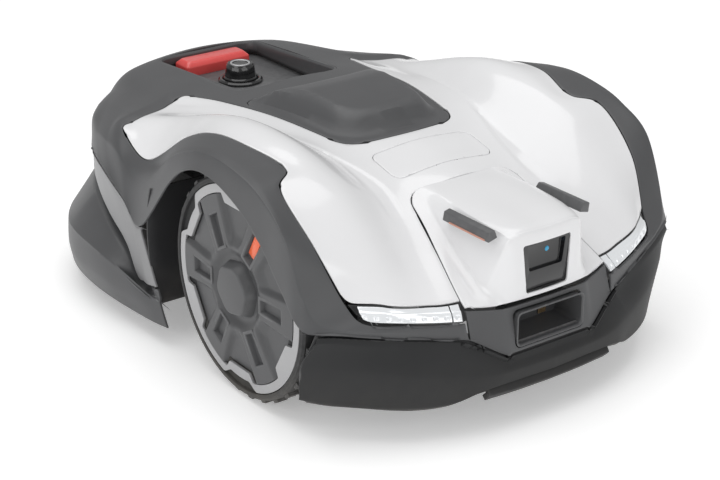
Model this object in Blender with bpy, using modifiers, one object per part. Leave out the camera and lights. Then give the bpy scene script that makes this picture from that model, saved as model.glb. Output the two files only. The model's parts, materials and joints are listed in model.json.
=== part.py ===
"""Robotic lawn mower, modelled as separate named pieces.

Metres, +Z up. The mower drives towards -Y, its left side is +X, and it stands on z = 0.
The outer cover is one network of long rails that run from the tail to the nose. Each
panel is the stretch of the network between two rails and two stations, so neighbouring
panels share one surface and are parted by an even seam.
"""
import math

import bmesh
import bpy
from mathutils import Euler, Matrix, Vector

OBJECT = "robotic_lawn_mower"

# Driving dimensions
SEAM = 0.0008             # gap between neighbouring cover panels
SHELL = 0.0025            # wall of the cover panels
FIT = 0.0004              # gap between pieces that rest on each other
WHEEL_AXLE = Vector((0.0, -0.1225, 0.120))
WHEEL_RADIUS = 0.120
WHEEL_INNER_X = 0.178
TYRE_WIDTH = 0.054
FACE_SEAT = 0.0504        # where the ring and the cap rest, from the wheel's inner side
SHAFT_RADIUS = 0.008
TUB_HALF_WIDTH = 0.165
TUB_FRONT, TUB_REAR = -0.235, 0.270
TUB_FLOOR, TUB_TOP = 0.070, 0.160
TUB_WALL = 0.003
REAR_STEP_Y, REAR_STEP_Z = 0.140, 0.098
LID = 0.003
CUTTER = Vector((0.0, 0.030, 0.0))
DISC_RADIUS = 0.100
BLADE_PIVOT_RADIUS = 0.088
RECESS_RADIUS = 0.128
CASTER_PIVOT = Vector((0.150, 0.215, 0.098))
CASTER_TRAIL = 0.028
CASTER_RADIUS = 0.040
FLOOR_TOP = 0.1995
KNOB = Vector((0.0, 0.225, 0.0))
STOP_LO = Vector((-0.045, 0.272, 0.0))
STOP_HI = Vector((0.045, 0.302, 0.0))

# The part of the body that a panel's wall points to: its wall runs towards this box
CORE_LO = Vector((-0.150, -0.225, 0.090))
CORE_HI = Vector((0.150, 0.245, 0.140))

# Rails of the cover, tail to nose. Stations: 0 rear hem, 1 tail shoulder, 4 rear end of
# the side panel, 5 foot of the wheel arch, 6 rear of the hood, 8 front of the hood,
# 10 rear of the nose, 12 headlight line
CENTRE = [(0, 0.3425, 0.150), (0, 0.3395, 0.193), (0, 0.320, 0.2170), (0, 0.240, 0.2265),
          (0, 0.160, 0.231), (0, 0.110, 0.234), (0, 0.070, 0.236), (0, 0.000, 0.237),
          (0, -0.1005, 0.230), (0, -0.145, 0.221), (0, -0.190, 0.210), (0, -0.250, 0.180),
          (0, -0.322, 0.135)]
SPINE = [(0.100, 0.336, 0.153), (0.098, 0.3305, 0.191), (0.094, 0.306, 0.2125), (0.102, 0.227, 0.2205),
         (0.1125, 0.1655, 0.2218), (0.1025, 0.107, 0.2277), (0.0925, 0.026, 0.2336),
         (0.083, -0.035, 0.232), (0.0735, -0.0905, 0.2269), (0.066, -0.140, 0.218),
         (0.0677, -0.1813, 0.2048), (0.080, -0.250, 0.167), (0.0923, -0.3087, 0.132)]
VALLEY = [(0.136, 0.321, 0.156), (0.133, 0.308, 0.187), (0.135, 0.270, 0.2035), (0.145, 0.205, 0.213),
          (0.150, 0.155, 0.216), (0.138, 0.100, 0.223), (0.127, 0.022, 0.232), (0.118, -0.035, 0.234),
          (0.108, -0.0905, 0.230), (0.103, -0.140, 0.2195), (0.105, -0.190, 0.2035),
          (0.115, -0.245, 0.170), (0.128, -0.300, 0.134)]
HAUNCH = [(0.165, 0.298, 0.159), (0.161, 0.283, 0.186), (0.167, 0.245, 0.1985), (0.176, 0.195, 0.2080),
          (0.182, 0.150, 0.213), (0.172, 0.092, 0.226), (0.165, 0.020, 0.250), (0.160, -0.035, 0.262),
          (0.155, -0.0905, 0.260), (0.152, -0.140, 0.248), (0.152, -0.190, 0.226),
          (0.155, -0.240, 0.187), (0.163, -0.288, 0.1375)]
FENDER_EDGE = [(0.187, 0.268, 0.162), (0.184, 0.254, 0.185), (0.190, 0.218, 0.195), (0.199, 0.180, 0.202),
               (0.206, 0.148, 0.207), (0.214, 0.080, 0.192), (0.200, 0.018, 0.233),
               (0.199, -0.035, 0.253), (0.197, -0.0905, 0.257), (0.186, -0.1455, 0.2465),
               (0.210, -0.172, 0.237), (0.208, -0.224, 0.196), (0.196, -0.2575, 0.1458)]
SHOULDER = [(0.205, 0.231, 0.164), (0.203, 0.219, 0.180), (0.209, 0.196, 0.187), (0.217, 0.164, 0.1905),
            (0.224, 0.125, 0.190), (0.228, 0.072, 0.170), (0.232, 0.000, 0.222), (0.233, -0.045, 0.244),
            (0.2340, -0.0905, 0.252), (0.2345, -0.1385, 0.248), (0.2355, -0.178, 0.236),
            (0.2375, -0.2185, 0.208), (0.232, -0.2515, 0.139)]
ARCH = [(0.215, 0.200, 0.165), (0.220, 0.186, 0.166), (0.227, 0.163, 0.1655), (0.234, 0.130, 0.160),
        (0.236, 0.095, 0.145), (0.238, 0.0595, 0.127), (0.2395, -0.010, 0.200), (0.2405, -0.050, 0.2265),
        (0.2405, -0.0915, 0.231), (0.2405, -0.1385, 0.217), (0.2405, -0.1755, 0.194),
        (0.2405, -0.2135, 0.155), (0.2405, -0.2485, 0.126)]

# The fender goes on round the nose as a band between the headlight and the bumper
BAND_TOP = [(0.185, -0.2775, 0.1290), (0.145, -0.2970, 0.1235), (0.0951, -0.3163, 0.1188)]
BAND_MID = [(0.200, -0.2755, 0.1250), (0.150, -0.2960, 0.1175), (0.0945, -0.3183, 0.1105)]
BAND_FOOT = [(0.213, -0.2690, 0.1215), (0.155, -0.2940, 0.1110), (0.0935, -0.3205, 0.1025)]

# Nose: stations from its rear seam to its foot above the charging recess
NOSE_CENTRE = [(0, -0.190, 0.210), (0, -0.220, 0.209), (0, -0.255, 0.2065), (0, -0.292, 0.2035),
               (0, -0.316, 0.1995), (0, -0.3235, 0.190), (0, -0.3265, 0.130)]
NOSE_TOP = [(0.040, -0.1865, 0.2085), (0.047, -0.220, 0.2065), (0.0495, -0.255, 0.2035),
            (0.049, -0.290, 0.2005), (0.046, -0.3135, 0.1965), (0.0440, -0.3205, 0.187),
            (0.0355, -0.3245, 0.1295)]
NOSE_FOOT = [(0.057, -0.1835, 0.2065), (0.061, -0.220, 0.190), (0.0635, -0.253, 0.172),
             (0.0645, -0.283, 0.153), (0.0645, -0.300, 0.1435), (0.0630, -0.3075, 0.139),
             (0.0600, -0.3200, 0.129)]
NOSE_SEAM = [(0.0672, -0.182, 0.2045), (0.0735, -0.2195, 0.1855), (0.0800, -0.2505, 0.1665),
             (0.0865, -0.280, 0.149), (0.0900, -0.297, 0.1390), (0.0910, -0.303, 0.1355),
             (0.0915, -0.3095, 0.1325)]

# Mask between the headlights: top edge and bottom edge, centre to side
MASK_TOP = [(0, -0.3270, 0.1265), (0.0460, -0.3250, 0.1260), (0.0600, -0.3210, 0.1258),
            (0.0920, -0.3110, 0.1296)]
MASK_FOOT = [(0, -0.3335, 0.0795), (0.0460, -0.3335, 0.0795), (0.0570, -0.3330, 0.0795),
             (0.0925, -0.3205, 0.1010)]
RECESS = (0.0430, 0.0845, 0.1200)      # half width, bottom and top of the charging recess
RECESS_BACK = -0.296

# Bumper under the mask and the fenders: widest line and bottom edge, centre to the wheel
BUMPER_MID = [(0, -0.3415, 0.0640), (0.0660, -0.3385, 0.0650), (0.1100, -0.3270, 0.0700),
              (0.1630, -0.3035, 0.0780), (0.2150, -0.2690, 0.0850), (0.2405, -0.2440, 0.0860)]
BUMPER_FOOT = [(0, -0.3400, 0.0510), (0.0800, -0.3360, 0.0505), (0.1180, -0.3230, 0.0400),
               (0.1640, -0.3010, 0.0400), (0.2130, -0.2600, 0.0420), (0.2370, -0.2365, 0.0460)]

# Belt under the cover's hem: its height at the tail, what it gains towards the wheel,
# and where its top and foot run on past the hem to a point
BELT_HEIGHT, BELT_GAIN = 0.026, 0.010
BELT_TIP_TOP = [(0.2378, 0.0430, 0.0990), (0.2370, 0.0290, 0.0740)]
BELT_TIP_FOOT = [(0.2375, 0.0440, 0.0780), (0.2370, 0.0300, 0.0700)]

# Skirt below the belt: widest line and bottom edge, tail centre to its front edge
SKIRT_TUCK = 0.0065
SKIRT_MID = [(0, 0.3425, 0.0600), (0.100, 0.3400, 0.0600), (0.150, 0.3290, 0.0600), (0.186, 0.3060, 0.0610),
             (0.213, 0.2745, 0.0620), (0.235, 0.2340, 0.0630), (0.248, 0.1950, 0.0630),
             (0.2532, 0.1550, 0.0620), (0.2525, 0.1200, 0.0600), (0.248, 0.0850, 0.0580),
             (0.243, 0.0560, 0.0560), (0.2390, 0.0300, 0.0500)]
SKIRT_FOOT = [(0, 0.3360, 0.0220), (0.100, 0.3320, 0.0220), (0.150, 0.3190, 0.0220), (0.186, 0.2960, 0.0220),
              (0.208, 0.2720, 0.0220), (0.226, 0.2450, 0.0220), (0.2385, 0.2050, 0.0220),
              (0.2445, 0.1550, 0.0220), (0.245, 0.1150, 0.0220), (0.243, 0.0750, 0.0220),
              (0.2405, 0.0350, 0.0230), (0.237, 0.0110, 0.0240)]

WELL_FRONT, WELL_REAR, WELL_HALF = 0.110, 0.311, 0.072
WELL_WALL = 0.003
HUMP_HEIGHT = 0.020

# Colours: name -> (red, green, blue, roughness, metallic)
FINISHES = {
    "white_gloss": (0.86, 0.86, 0.87, 0.22, 0.0),
    "graphite": (0.085, 0.087, 0.092, 0.45, 0.0),
    "dark_bumper": (0.030, 0.031, 0.034, 0.50, 0.0),
    "belt_grey": (0.26, 0.26, 0.27, 0.45, 0.0),
    "black_rubber": (0.016, 0.016, 0.017, 0.80, 0.0),
    "silver_ring": (0.36, 0.36, 0.36, 0.42, 0.2),
    "orange": (0.90, 0.16, 0.03, 0.35, 0.0),
    "red": (0.80, 0.07, 0.06, 0.40, 0.0),
    "black_gloss": (0.010, 0.010, 0.011, 0.15, 0.0),
    "lamp": (0.90, 0.92, 0.95, 0.10, 0.0),
    "steel": (0.55, 0.56, 0.57, 0.32, 1.0),
    "chassis_black": (0.022, 0.022, 0.024, 0.60, 0.0),
    "copper": (0.72, 0.42, 0.22, 0.35, 1.0),
    "board_green": (0.02, 0.16, 0.07, 0.50, 0.0),
}


def clear_scene():
    """Remove what the startup file holds."""
    for item in list(bpy.data.objects):
        bpy.data.objects.remove(item, do_unlink=True)


def make_collection(name, hidden=False):
    """A new collection under the scene's own."""
    collection = bpy.data.collections.new(name)
    bpy.context.scene.collection.children.link(collection)
    collection.hide_render = hidden
    return collection


def finish(name):
    """The material of that name, made once."""
    known = bpy.data.materials.get(name)
    if known:
        return known
    red, green, blue, roughness, metallic = FINISHES[name]
    material = bpy.data.materials.new(name)
    material.use_nodes = True
    shader = material.node_tree.nodes["Principled BSDF"]
    shader.inputs["Base Color"].default_value = (red, green, blue, 1.0)
    shader.inputs["Roughness"].default_value = roughness
    shader.inputs["Metallic"].default_value = metallic
    return material


def add_piece(name, mesh, look, smooth=True):
    """Place a mesh in the object's collection with its material."""
    piece = bpy.data.objects.new(name, mesh)
    PARTS.objects.link(piece)
    mesh.materials.append(finish(look))
    if smooth:
        mesh.shade_smooth()
        mesh.set_sharp_from_angle(angle=math.radians(35))
    return piece


def add_cutter(name, mesh):
    """A solid that only cuts others, or is joined to them."""
    cutter = bpy.data.objects.new(name, mesh)
    CUTTERS.objects.link(cutter)
    cutter.hide_render = True
    cutter.display_type = 'WIRE'
    return cutter


def mesh_from(bm, name):
    """A mesh made from a bmesh, which is then freed."""
    mesh = bpy.data.meshes.new(name)
    bm.to_mesh(mesh)
    bm.free()
    return mesh


def box_mesh(name, lo, hi, bevel=0.0):
    """An axis-aligned box between two corners, its edges rounded off by a small chamfer."""
    lo, hi = Vector(lo), Vector(hi)
    bm = bmesh.new()
    bmesh.ops.create_cube(bm, size=1.0)
    bmesh.ops.scale(bm, vec=hi - lo, verts=bm.verts)
    bmesh.ops.translate(bm, vec=(lo + hi) / 2, verts=bm.verts)
    if bevel:
        bmesh.ops.bevel(bm, geom=list(bm.edges), offset=bevel, segments=1, profile=0.5,
                        affect='EDGES', material=-1)
    return mesh_from(bm, name)


def rod_mesh(name, start, end, radius, sides=24):
    """A round rod between two points, its ends capped."""
    start, end = Vector(start), Vector(end)
    axis = end - start
    bm = bmesh.new()
    bmesh.ops.create_cone(bm, cap_ends=True, segments=sides, radius1=radius, radius2=radius,
                          depth=axis.length)
    turn = axis.to_track_quat('Z', 'Y').to_matrix().to_4x4()
    bmesh.ops.transform(bm, matrix=Matrix.Translation((start + end) / 2) @ turn, verts=bm.verts)
    return mesh_from(bm, name)


def boolean(piece, cutter, operation='DIFFERENCE'):
    """Cut a piece with a solid, or join the solid to it."""
    modifier = piece.modifiers.new(cutter.name, 'BOOLEAN')
    modifier.operation = operation
    modifier.solver = 'EXACT'
    modifier.object = cutter


def turned(name, profile, look, steps=32, place=None, turn=None):
    """A turned piece: a profile of (radius, height) that runs down its outer side."""
    bm = bmesh.new()
    points = [bm.verts.new((radius, 0.0, height)) for radius, height in profile]
    for first, second in zip(points, points[1:]):
        bm.edges.new((first, second))
    if profile[0][0] > 0.0:
        bm.edges.new((points[-1], points[0]))
    piece = add_piece(name, mesh_from(bm, name), look, smooth=False)
    screw = piece.modifiers.new("turned", 'SCREW')
    screw.axis = 'Z'
    screw.steps = steps
    screw.render_steps = steps
    screw.use_merge_vertices = True
    screw.merge_threshold = 0.00001
    screw.use_normal_calculate = False
    piece.location = place or Vector()
    piece.rotation_euler = turn or Euler()
    return piece


def plate(name, outlines, bottom, top, look, place=None, turn=None):
    """A flat piece cut from a plate: its outline first, then its holes."""
    curve = bpy.data.curves.new(name, 'CURVE')
    curve.dimensions = '2D'
    curve.fill_mode = 'BOTH'
    curve.extrude = (top - bottom) / 2
    for outline in outlines:
        spline = curve.splines.new('POLY')
        spline.points.add(len(outline) - 1)
        for point, (x, y) in zip(spline.points, outline):
            point.co = (x, y, 0.0, 1.0)
        spline.use_cyclic_u = True
    piece = bpy.data.objects.new(name, curve)
    PARTS.objects.link(piece)
    curve.materials.append(finish(look))
    turn = turn or Euler()
    lift = Vector((0.0, 0.0, (top + bottom) / 2))
    lift.rotate(turn)
    piece.location = (place or Vector()) + lift
    piece.rotation_euler = turn
    return piece


def circle(radius, steps=24, centre=(0.0, 0.0)):
    """Points round a circle."""
    angles = [2 * math.pi * step / steps for step in range(steps)]
    return [(centre[0] + radius * math.cos(a), centre[1] + radius * math.sin(a)) for a in angles]


def rectangle(half_x, half_y, centre=(0.0, 0.0), corner=0.0, steps=3):
    """Points round a rectangle, its corners rounded."""
    if not corner:
        signs = ((1, 1), (-1, 1), (-1, -1), (1, -1))
        return [(centre[0] + sx * half_x, centre[1] + sy * half_y) for sx, sy in signs]
    points = []
    for quarter in range(4):
        middle = math.pi / 2 * quarter + math.pi / 4
        sx, sy = math.copysign(1, math.cos(middle)), math.copysign(1, math.sin(middle))
        for step in range(steps + 1):
            angle = math.pi / 2 * (quarter + step / steps)
            points.append((centre[0] + sx * (half_x - corner) + corner * math.cos(angle),
                           centre[1] + sy * (half_y - corner) + corner * math.sin(angle)))
    return points


def smooth_point(points, position):
    """The point at a position along a smooth curve through the given points."""
    index = min(int(position), len(points) - 2)
    t = position - index
    before = points[max(index - 1, 0)]
    start, end = points[index], points[index + 1]
    after = points[min(index + 2, len(points) - 1)]
    start_slope = (end - before) / 2 if index else end - start
    end_slope = (after - start) / 2 if index + 2 < len(points) else end - start
    return ((2 * t ** 3 - 3 * t ** 2 + 1) * start + (t ** 3 - 2 * t ** 2 + t) * start_slope
            + (3 * t ** 2 - 2 * t ** 3) * end + (t ** 3 - t ** 2) * end_slope)


def network(rails, along=2, across=2):
    """A grid of points on the smooth surface through the rails: rows across, columns along."""
    rails = [[Vector(point) for point in rail] for rail in rails]
    stations = (len(rails[0]) - 1) * along + 1
    fine_rails = [[smooth_point(rail, step / along) for step in range(stations)] for rail in rails]
    rows = (len(rails) - 1) * across + 1
    return [[smooth_point([rail[column] for rail in fine_rails], row / across)
             for column in range(stations)] for row in range(rows)]


def follow(points, guide):
    """Points on the smooth curve through some points, spaced as the guide's own points are."""
    points = [Vector(point) for point in points]
    fine = [smooth_point(points, step / 20) for step in range((len(points) - 1) * 20 + 1)]
    reached = [0.0]
    for first, second in zip(fine, fine[1:]):
        reached.append(reached[-1] + (second - first).length)
    walked = [0.0]
    for first, second in zip(guide, guide[1:]):
        walked.append(walked[-1] + (second - first).length)
    found = []
    for share in walked:
        want = share / walked[-1] * reached[-1]
        index = max(step for step, length in enumerate(reached) if length <= want + 1e-9)
        index = min(index, len(fine) - 2)
        part = (want - reached[index]) / (reached[index + 1] - reached[index])
        found.append(fine[index].lerp(fine[index + 1], part))
    return found


def loft(lines, across=2):
    """A grid between lines that already have matching points."""
    rows = (len(lines) - 1) * across + 1
    return [[smooth_point([line[column] for line in lines], row / across)
             for row in range(rows)] for column in range(len(lines[0]))]


def mirrored(grid):
    """The grid with its own mirror image on the other side of x = 0."""
    other = [[Vector((-point.x, point.y, point.z)) for point in row] for row in reversed(grid[1:])]
    return other + grid


def flipped(grid, side):
    """The grid on the left side (+1) or its mirror image on the right (-1)."""
    if side > 0:
        return grid
    return [[Vector((-point.x, point.y, point.z)) for point in row] for row in grid]


def wall_direction(point):
    """From the nearest point of the body's core out to a point of the cover."""
    nearest = Vector(min(max(value, low), high)
                     for value, low, high in zip(point, CORE_LO, CORE_HI))
    return (point - nearest).normalized()


def shell_mesh(name, grid, keeps=None, thickness=SHELL, gap=SEAM, outward=wall_direction):
    """A closed panel with a wall, from the cells of a grid that a panel keeps."""
    keeps = keeps or (lambda row, column: True)
    cells = [(row, column) for row in range(len(grid) - 1) for column in range(len(grid[0]) - 1)
             if keeps(row, column)]
    bm = bmesh.new()
    outer, faces_at = {}, {}
    for row, column in cells:
        keys = [(row, column), (row, column + 1), (row + 1, column + 1), (row + 1, column)]
        for key in keys:
            if key not in outer:
                outer[key] = bm.verts.new(grid[key[0]][key[1]])
            faces_at.setdefault(key, []).append((row, column))
        bm.faces.new([outer[key] for key in keys])
    for key, vert in outer.items():
        edges = [edge for edge in vert.link_edges if edge.is_boundary]
        if not edges:
            continue
        along = sum(((edge.other_vert(vert).co - vert.co).normalized() * sign
                     for edge, sign in zip(edges, (1, -1))), Vector())
        centres = [face.calc_center_median() for face in vert.link_faces]
        inward = sum(centres, Vector()) / len(centres) - vert.co
        if len(vert.link_faces) == 2 and along.length > 0.0:
            inward -= inward.project(along)
        vert.tag = True
        outer[key] = (vert, vert.co + inward.normalized() * gap / 2)
    for key, entry in list(outer.items()):
        if isinstance(entry, tuple):
            entry[0].co = entry[1]
    top = list(bm.faces)
    side_out = sum(((face.normal_update() or face.normal).dot(outward(face.calc_center_median()))
                    for face in top), 0.0)
    if side_out < 0.0:
        bmesh.ops.reverse_faces(bm, faces=top)
    rim = [edge for edge in bm.edges if edge.is_boundary]
    copies = {vert: bm.verts.new(vert.co - outward(vert.co) * thickness) for vert in list(bm.verts)}
    for face in top:
        bm.faces.new([copies[vert] for vert in reversed(face.verts)])
    for edge in rim:
        loop = edge.link_loops[0]
        first, second = loop.vert, loop.link_loop_next.vert
        bm.faces.new([second, first, copies[first], copies[second]])
    return mesh_from(bm, name)


def surface_side(grid):
    """A direction function that follows the grid's own surface, for steep-walled pieces."""
    samples = []
    for row in range(len(grid)):
        for column in range(len(grid[0])):
            across = grid[min(row + 1, len(grid) - 1)][column] - grid[max(row - 1, 0)][column]
            along = (grid[row][min(column + 1, len(grid[0]) - 1)] - grid[row][max(column - 1, 0)])
            normal = across.cross(along)
            if normal.length == 0.0:
                normal = wall_direction(grid[row][column])
            normal.normalize()
            if normal.dot(wall_direction(grid[row][column])) < 0.0:
                normal.negate()
            samples.append((grid[row][column], normal))

    def direction(point):
        near = min(samples, key=lambda sample: (sample[0] - point).length_squared)
        return near[1]
    return direction


def side_name(side):
    """left for +X, right for -X."""
    return "left" if side > 0 else "right"


# --- Cover panels -----------------------------------------------------------------------

ALONG = 2
ACROSS = 2
SPINE_ROW, FENDER_ROW, ARCH_ROW = 1 * ACROSS, 4 * ACROSS, 6 * ACROSS
PANEL_REAR, ARCH_FOOT, HOOD_REAR = 4 * ALONG, 5 * ALONG, 6 * ALONG
HOOD_FRONT, NOSE_REAR = 8 * ALONG, 10 * ALONG


def cover_grid():
    """Half of the cover's network, from the centre line to the lip of the wheel arch."""
    return network([CENTRE, SPINE, VALLEY, HAUNCH, FENDER_EDGE, SHOULDER, ARCH], ALONG, ACROSS)


def row_side(row):
    """How many rows a cell of the mirrored grid lies from the centre line."""
    middle = ARCH_ROW
    return row - middle if row >= middle else middle - 1 - row


def in_deck(row, column):
    """The dark rear shell: the tail, its flanks and the deck as far as the hood."""
    out = row_side(row)
    if out < SPINE_ROW:
        return column < HOOD_REAR
    if out < FENDER_ROW:
        return column < PANEL_REAR
    return column < ARCH_FOOT


def in_white(row, column):
    """The white top cover: both flanks, joined in front of the hood."""
    out = row_side(row)
    if out < SPINE_ROW:
        return HOOD_FRONT <= column < NOSE_REAR
    return out < FENDER_ROW and column >= PANEL_REAR


def in_hood(row, column):
    """The hood between deck and nose."""
    return row_side(row) < SPINE_ROW and HOOD_REAR <= column < HOOD_FRONT


def make_deck(full):
    """Rear shell with the sunk control well cut through it, walled all round."""
    deck = add_piece("deck_shell", shell_mesh("deck_shell", full, in_deck), "graphite")
    middle = (WELL_FRONT + WELL_REAR) / 2
    reach = (WELL_REAR - WELL_FRONT) / 2
    well = add_cutter("well_hole", box_mesh("well_hole", (-WELL_HALF, WELL_FRONT, 0.15),
                                            (WELL_HALF, WELL_REAR, 0.30)))
    collar = add_cutter("well_collar", box_mesh(
        "well_collar", (-WELL_HALF - WELL_WALL, middle - reach - WELL_WALL, FLOOR_TOP + FIT),
        (WELL_HALF + WELL_WALL, middle + reach + WELL_WALL, 0.30)))
    sunk = [[point - Vector((0, 0, SHELL * 0.4)) for point in row] for row in full]
    body = shell_mesh("deck_body", sunk, in_deck, thickness=0.06, gap=0.01,
                      outward=lambda point: Vector((0, 0, 1)))
    under = add_cutter("deck_body", body)
    boolean(collar, under, 'INTERSECT')
    boolean(deck, collar, 'UNION')
    boolean(deck, well)


def make_hood(full):
    """Hood with its raised hump, steep in front and flat on top."""
    grid = [[point.copy() for point in row] for row in full]
    for row in range(len(grid)):
        for column in range(HOOD_REAR + 1, HOOD_FRONT):
            out = abs(row - ARCH_ROW) / SPINE_ROW
            if out < 1.0:
                grid[row][column].z += HUMP_HEIGHT
    add_piece("hood_cover", shell_mesh("hood_cover", grid, in_hood), "graphite")


def make_white(full):
    """White top cover: both flanks, joined in front of the hood."""
    add_piece("top_cover", shell_mesh("top_cover", full, in_white), "white_gloss")


def fender_grid(half):
    """Rows of the fender: over the wheel, then as a band under the headlight."""
    tail = network([BAND_TOP, BAND_MID, BAND_FOOT], ALONG, ACROSS)
    return [row[ARCH_FOOT:] + more for row, more in zip(half[FENDER_ROW:], tail)]


def make_fender(half, side):
    """Arch over one drive wheel, which goes on under the headlight as a band."""
    name = "fender_" + side_name(side)
    add_piece(name, shell_mesh(name, flipped(fender_grid(half), side)), "graphite")


def make_nose():
    """White nose that carries the camera, open in front for its window."""
    grid = mirrored(network([NOSE_CENTRE, NOSE_TOP, NOSE_FOOT, NOSE_SEAM], 2, 2))
    nose = add_piece("nose_panel", shell_mesh("nose_panel", grid, thickness=0.0022, gap=0.0014,
                                              outward=surface_side(grid)), "white_gloss")
    boolean(nose, add_cutter("window_hole", box_mesh("window_hole", (-0.0310, -0.36, 0.1335),
                                                     (0.0310, -0.312, 0.1840))))
    add_piece("camera_window", box_mesh("camera_window", (-0.0303, -0.3225, 0.1342),
                                        (0.0303, -0.3195, 0.1833), 0.0006), "black_gloss")


def make_sensor_block(side):
    """Dark cover of a side sensor, hung on the nose's shoulder."""
    bm = bmesh.new()
    bmesh.ops.create_cube(bm, size=1.0)
    bmesh.ops.scale(bm, vec=(0.0120, 0.0740, 0.0100), verts=bm.verts)
    bmesh.ops.bevel(bm, geom=list(bm.edges), offset=0.002, segments=1, profile=0.5,
                    affect='EDGES', material=-1)
    name = "sensor_block_" + side_name(side)
    piece = add_piece(name, mesh_from(bm, name), "graphite")
    piece.location = (side * 0.0605, -0.2770, 0.1990)
    piece.rotation_euler = (math.radians(3.0), 0, 0)


def mask_lines():
    """Top and foot of the mask, centre to side, with matching points."""
    return [[smooth_point([Vector(point) for point in edge], step / 2)
             for step in range((len(edge) - 1) * 2 + 1)] for edge in (MASK_TOP, MASK_FOOT)]


def make_mask():
    """Dark mask between the headlights, with the charging recess and its two contacts."""
    grid = mirrored(loft(mask_lines()))
    mask = add_piece("nose_mask", shell_mesh("nose_mask", grid, thickness=0.004, gap=0.0008,
                                             outward=lambda point: Vector((0, -1, 0))), "graphite")
    half_width, bottom, top = RECESS
    wall = 0.003
    boolean(mask, add_cutter("recess_block", box_mesh(
        "recess_block", (-half_width - wall, -0.3225, bottom - wall),
        (half_width + wall, RECESS_BACK + wall, top + wall))), 'UNION')
    boolean(mask, add_cutter("recess_room", box_mesh(
        "recess_room", (-half_width, -0.36, bottom), (half_width, RECESS_BACK, top))))
    for side in (1, -1):
        name = "charge_contact_" + side_name(side)
        lo = Vector((side * 0.020 - 0.005, RECESS_BACK - FIT - 0.0015, bottom + 0.006))
        hi = Vector((side * 0.020 + 0.005, RECESS_BACK - FIT, top - 0.006))
        add_piece(name, box_mesh(name, lo, hi, 0.0004), "copper", smooth=False)


def make_bumper(half):
    """Front bumper under the mask and the fenders, and the insert under its chin."""
    foot = fender_grid(half)[-1]
    under_fender = list(reversed(foot[-6:]))
    top = [point - Vector((0, 0, SEAM * 2)) for point in mask_lines()[1][:-1] + under_fender]
    top[len(mask_lines()[1]) - 2].z -= SEAM
    lines = [top, follow(BUMPER_MID, top), follow(BUMPER_FOOT, top)]
    add_piece("front_bumper", shell_mesh("front_bumper", mirrored(loft(lines, 1)), thickness=0.004), "dark_bumper")
    chin = [[(0, -0.3385, 0.0492), (0.040, -0.3375, 0.0492), (0.0790, -0.3340, 0.0492)],
            [(0, -0.3425, 0.0440), (0.040, -0.3410, 0.0440), (0.0800, -0.3365, 0.0440)],
            [(0, -0.3320, 0.0350), (0.040, -0.3310, 0.0350), (0.0790, -0.3280, 0.0350)]]
    grid = loft([[Vector(point) for point in line] for line in chin])
    add_piece("chin_insert", shell_mesh("chin_insert", mirrored(grid), thickness=0.006, gap=0.0,
                                        outward=lambda point: Vector((0, -1, 0))), "dark_bumper")


def make_headlight(side):
    """One headlight, a closed lamp unit."""
    top = [(0.1895, -0.2690, 0.1385), (0.163, -0.2880, 0.1362), (0.128, -0.3003, 0.1328),
           (0.0935, -0.3095, 0.1305)]
    foot = [(0.1820, -0.2785, 0.1305), (0.160, -0.2905, 0.1272), (0.128, -0.3045, 0.1237),
            (0.0960, -0.3155, 0.1203)]
    grid = flipped([list(row) for row in network([top, foot], 2, 2)], side)
    name = "headlight_" + side_name(side)
    add_piece(name, shell_mesh(name, grid, thickness=0.006, gap=SEAM * 2), "lamp")


def make_belt_and_skirt(half):
    """Light belt under the hem, and the flared skirt below it."""
    hem = [row[0] for row in half] + half[-1][1:ARCH_FOOT + 1]
    drop = Vector((0, 0, SEAM * 2))
    top = [point - drop for point in hem]
    foot = []
    for step, point in enumerate(top):
        height = BELT_HEIGHT + BELT_GAIN * max(0.0, step / (len(top) - 1) * 2 - 1)
        foot.append(point - Vector((0, 0, height)))
    top += [Vector(point) for point in BELT_TIP_TOP]
    foot += [Vector(point) for point in BELT_TIP_FOOT]
    add_piece("belt_strip", shell_mesh("belt_strip", mirrored(loft([top, foot]))), "belt_grey")
    tucked = [point - wall_direction(point) * SKIRT_TUCK - drop for point in foot]
    lines = [tucked, follow(SKIRT_MID, tucked), follow(SKIRT_FOOT, tucked)]
    add_piece("rear_skirt", shell_mesh("rear_skirt", mirrored(loft(lines, 1)), thickness=0.003), "graphite")


def make_controls():
    """Floor of the well with its button and its turning, pressing knob."""
    holes = [rectangle(WELL_HALF + WELL_WALL, (WELL_REAR - WELL_FRONT) / 2 + WELL_WALL,
                       (0, (WELL_REAR + WELL_FRONT) / 2)),
             circle(0.0065, 20, (KNOB.x, KNOB.y)),
             rectangle((STOP_HI.x - STOP_LO.x) / 2 + 0.0006, (STOP_HI.y - STOP_LO.y) / 2 + 0.0006,
                       (0, (STOP_LO.y + STOP_HI.y) / 2))]
    plate("control_floor", holes, FLOOR_TOP - 0.003, FLOOR_TOP, "graphite")
    add_piece("stop_button", box_mesh("stop_button", STOP_LO + Vector((0, 0, 0.1900)),
                                      STOP_HI + Vector((0, 0, 0.2160)), 0.004), "red")
    turned("knob_stem", [(0, 0.2200), (0.0055, 0.2200), (0.0055, 0.1930), (0, 0.1930)],
           "steel", 20, KNOB)
    turned("control_knob", [(0.0140, 0.2265), (0.0175, 0.2230), (0.0190, 0.2100), (0.0205, 0.2050),
                            (0.0205, 0.2025), (0.0060, 0.2025), (0.0060, 0.2170), (0.0125, 0.2210),
                            (0.0125, 0.2265)], "black_gloss", 24, KNOB)
    turned("knob_ring", [(0, 0.2245), (0.0100, 0.2260), (0.0119, 0.2245), (0.0119, 0.2213),
                         (0, 0.2213)], "silver_ring", 24, KNOB)


# --- Wheels -----------------------------------------------------------------------------

LOBES = 6


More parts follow.
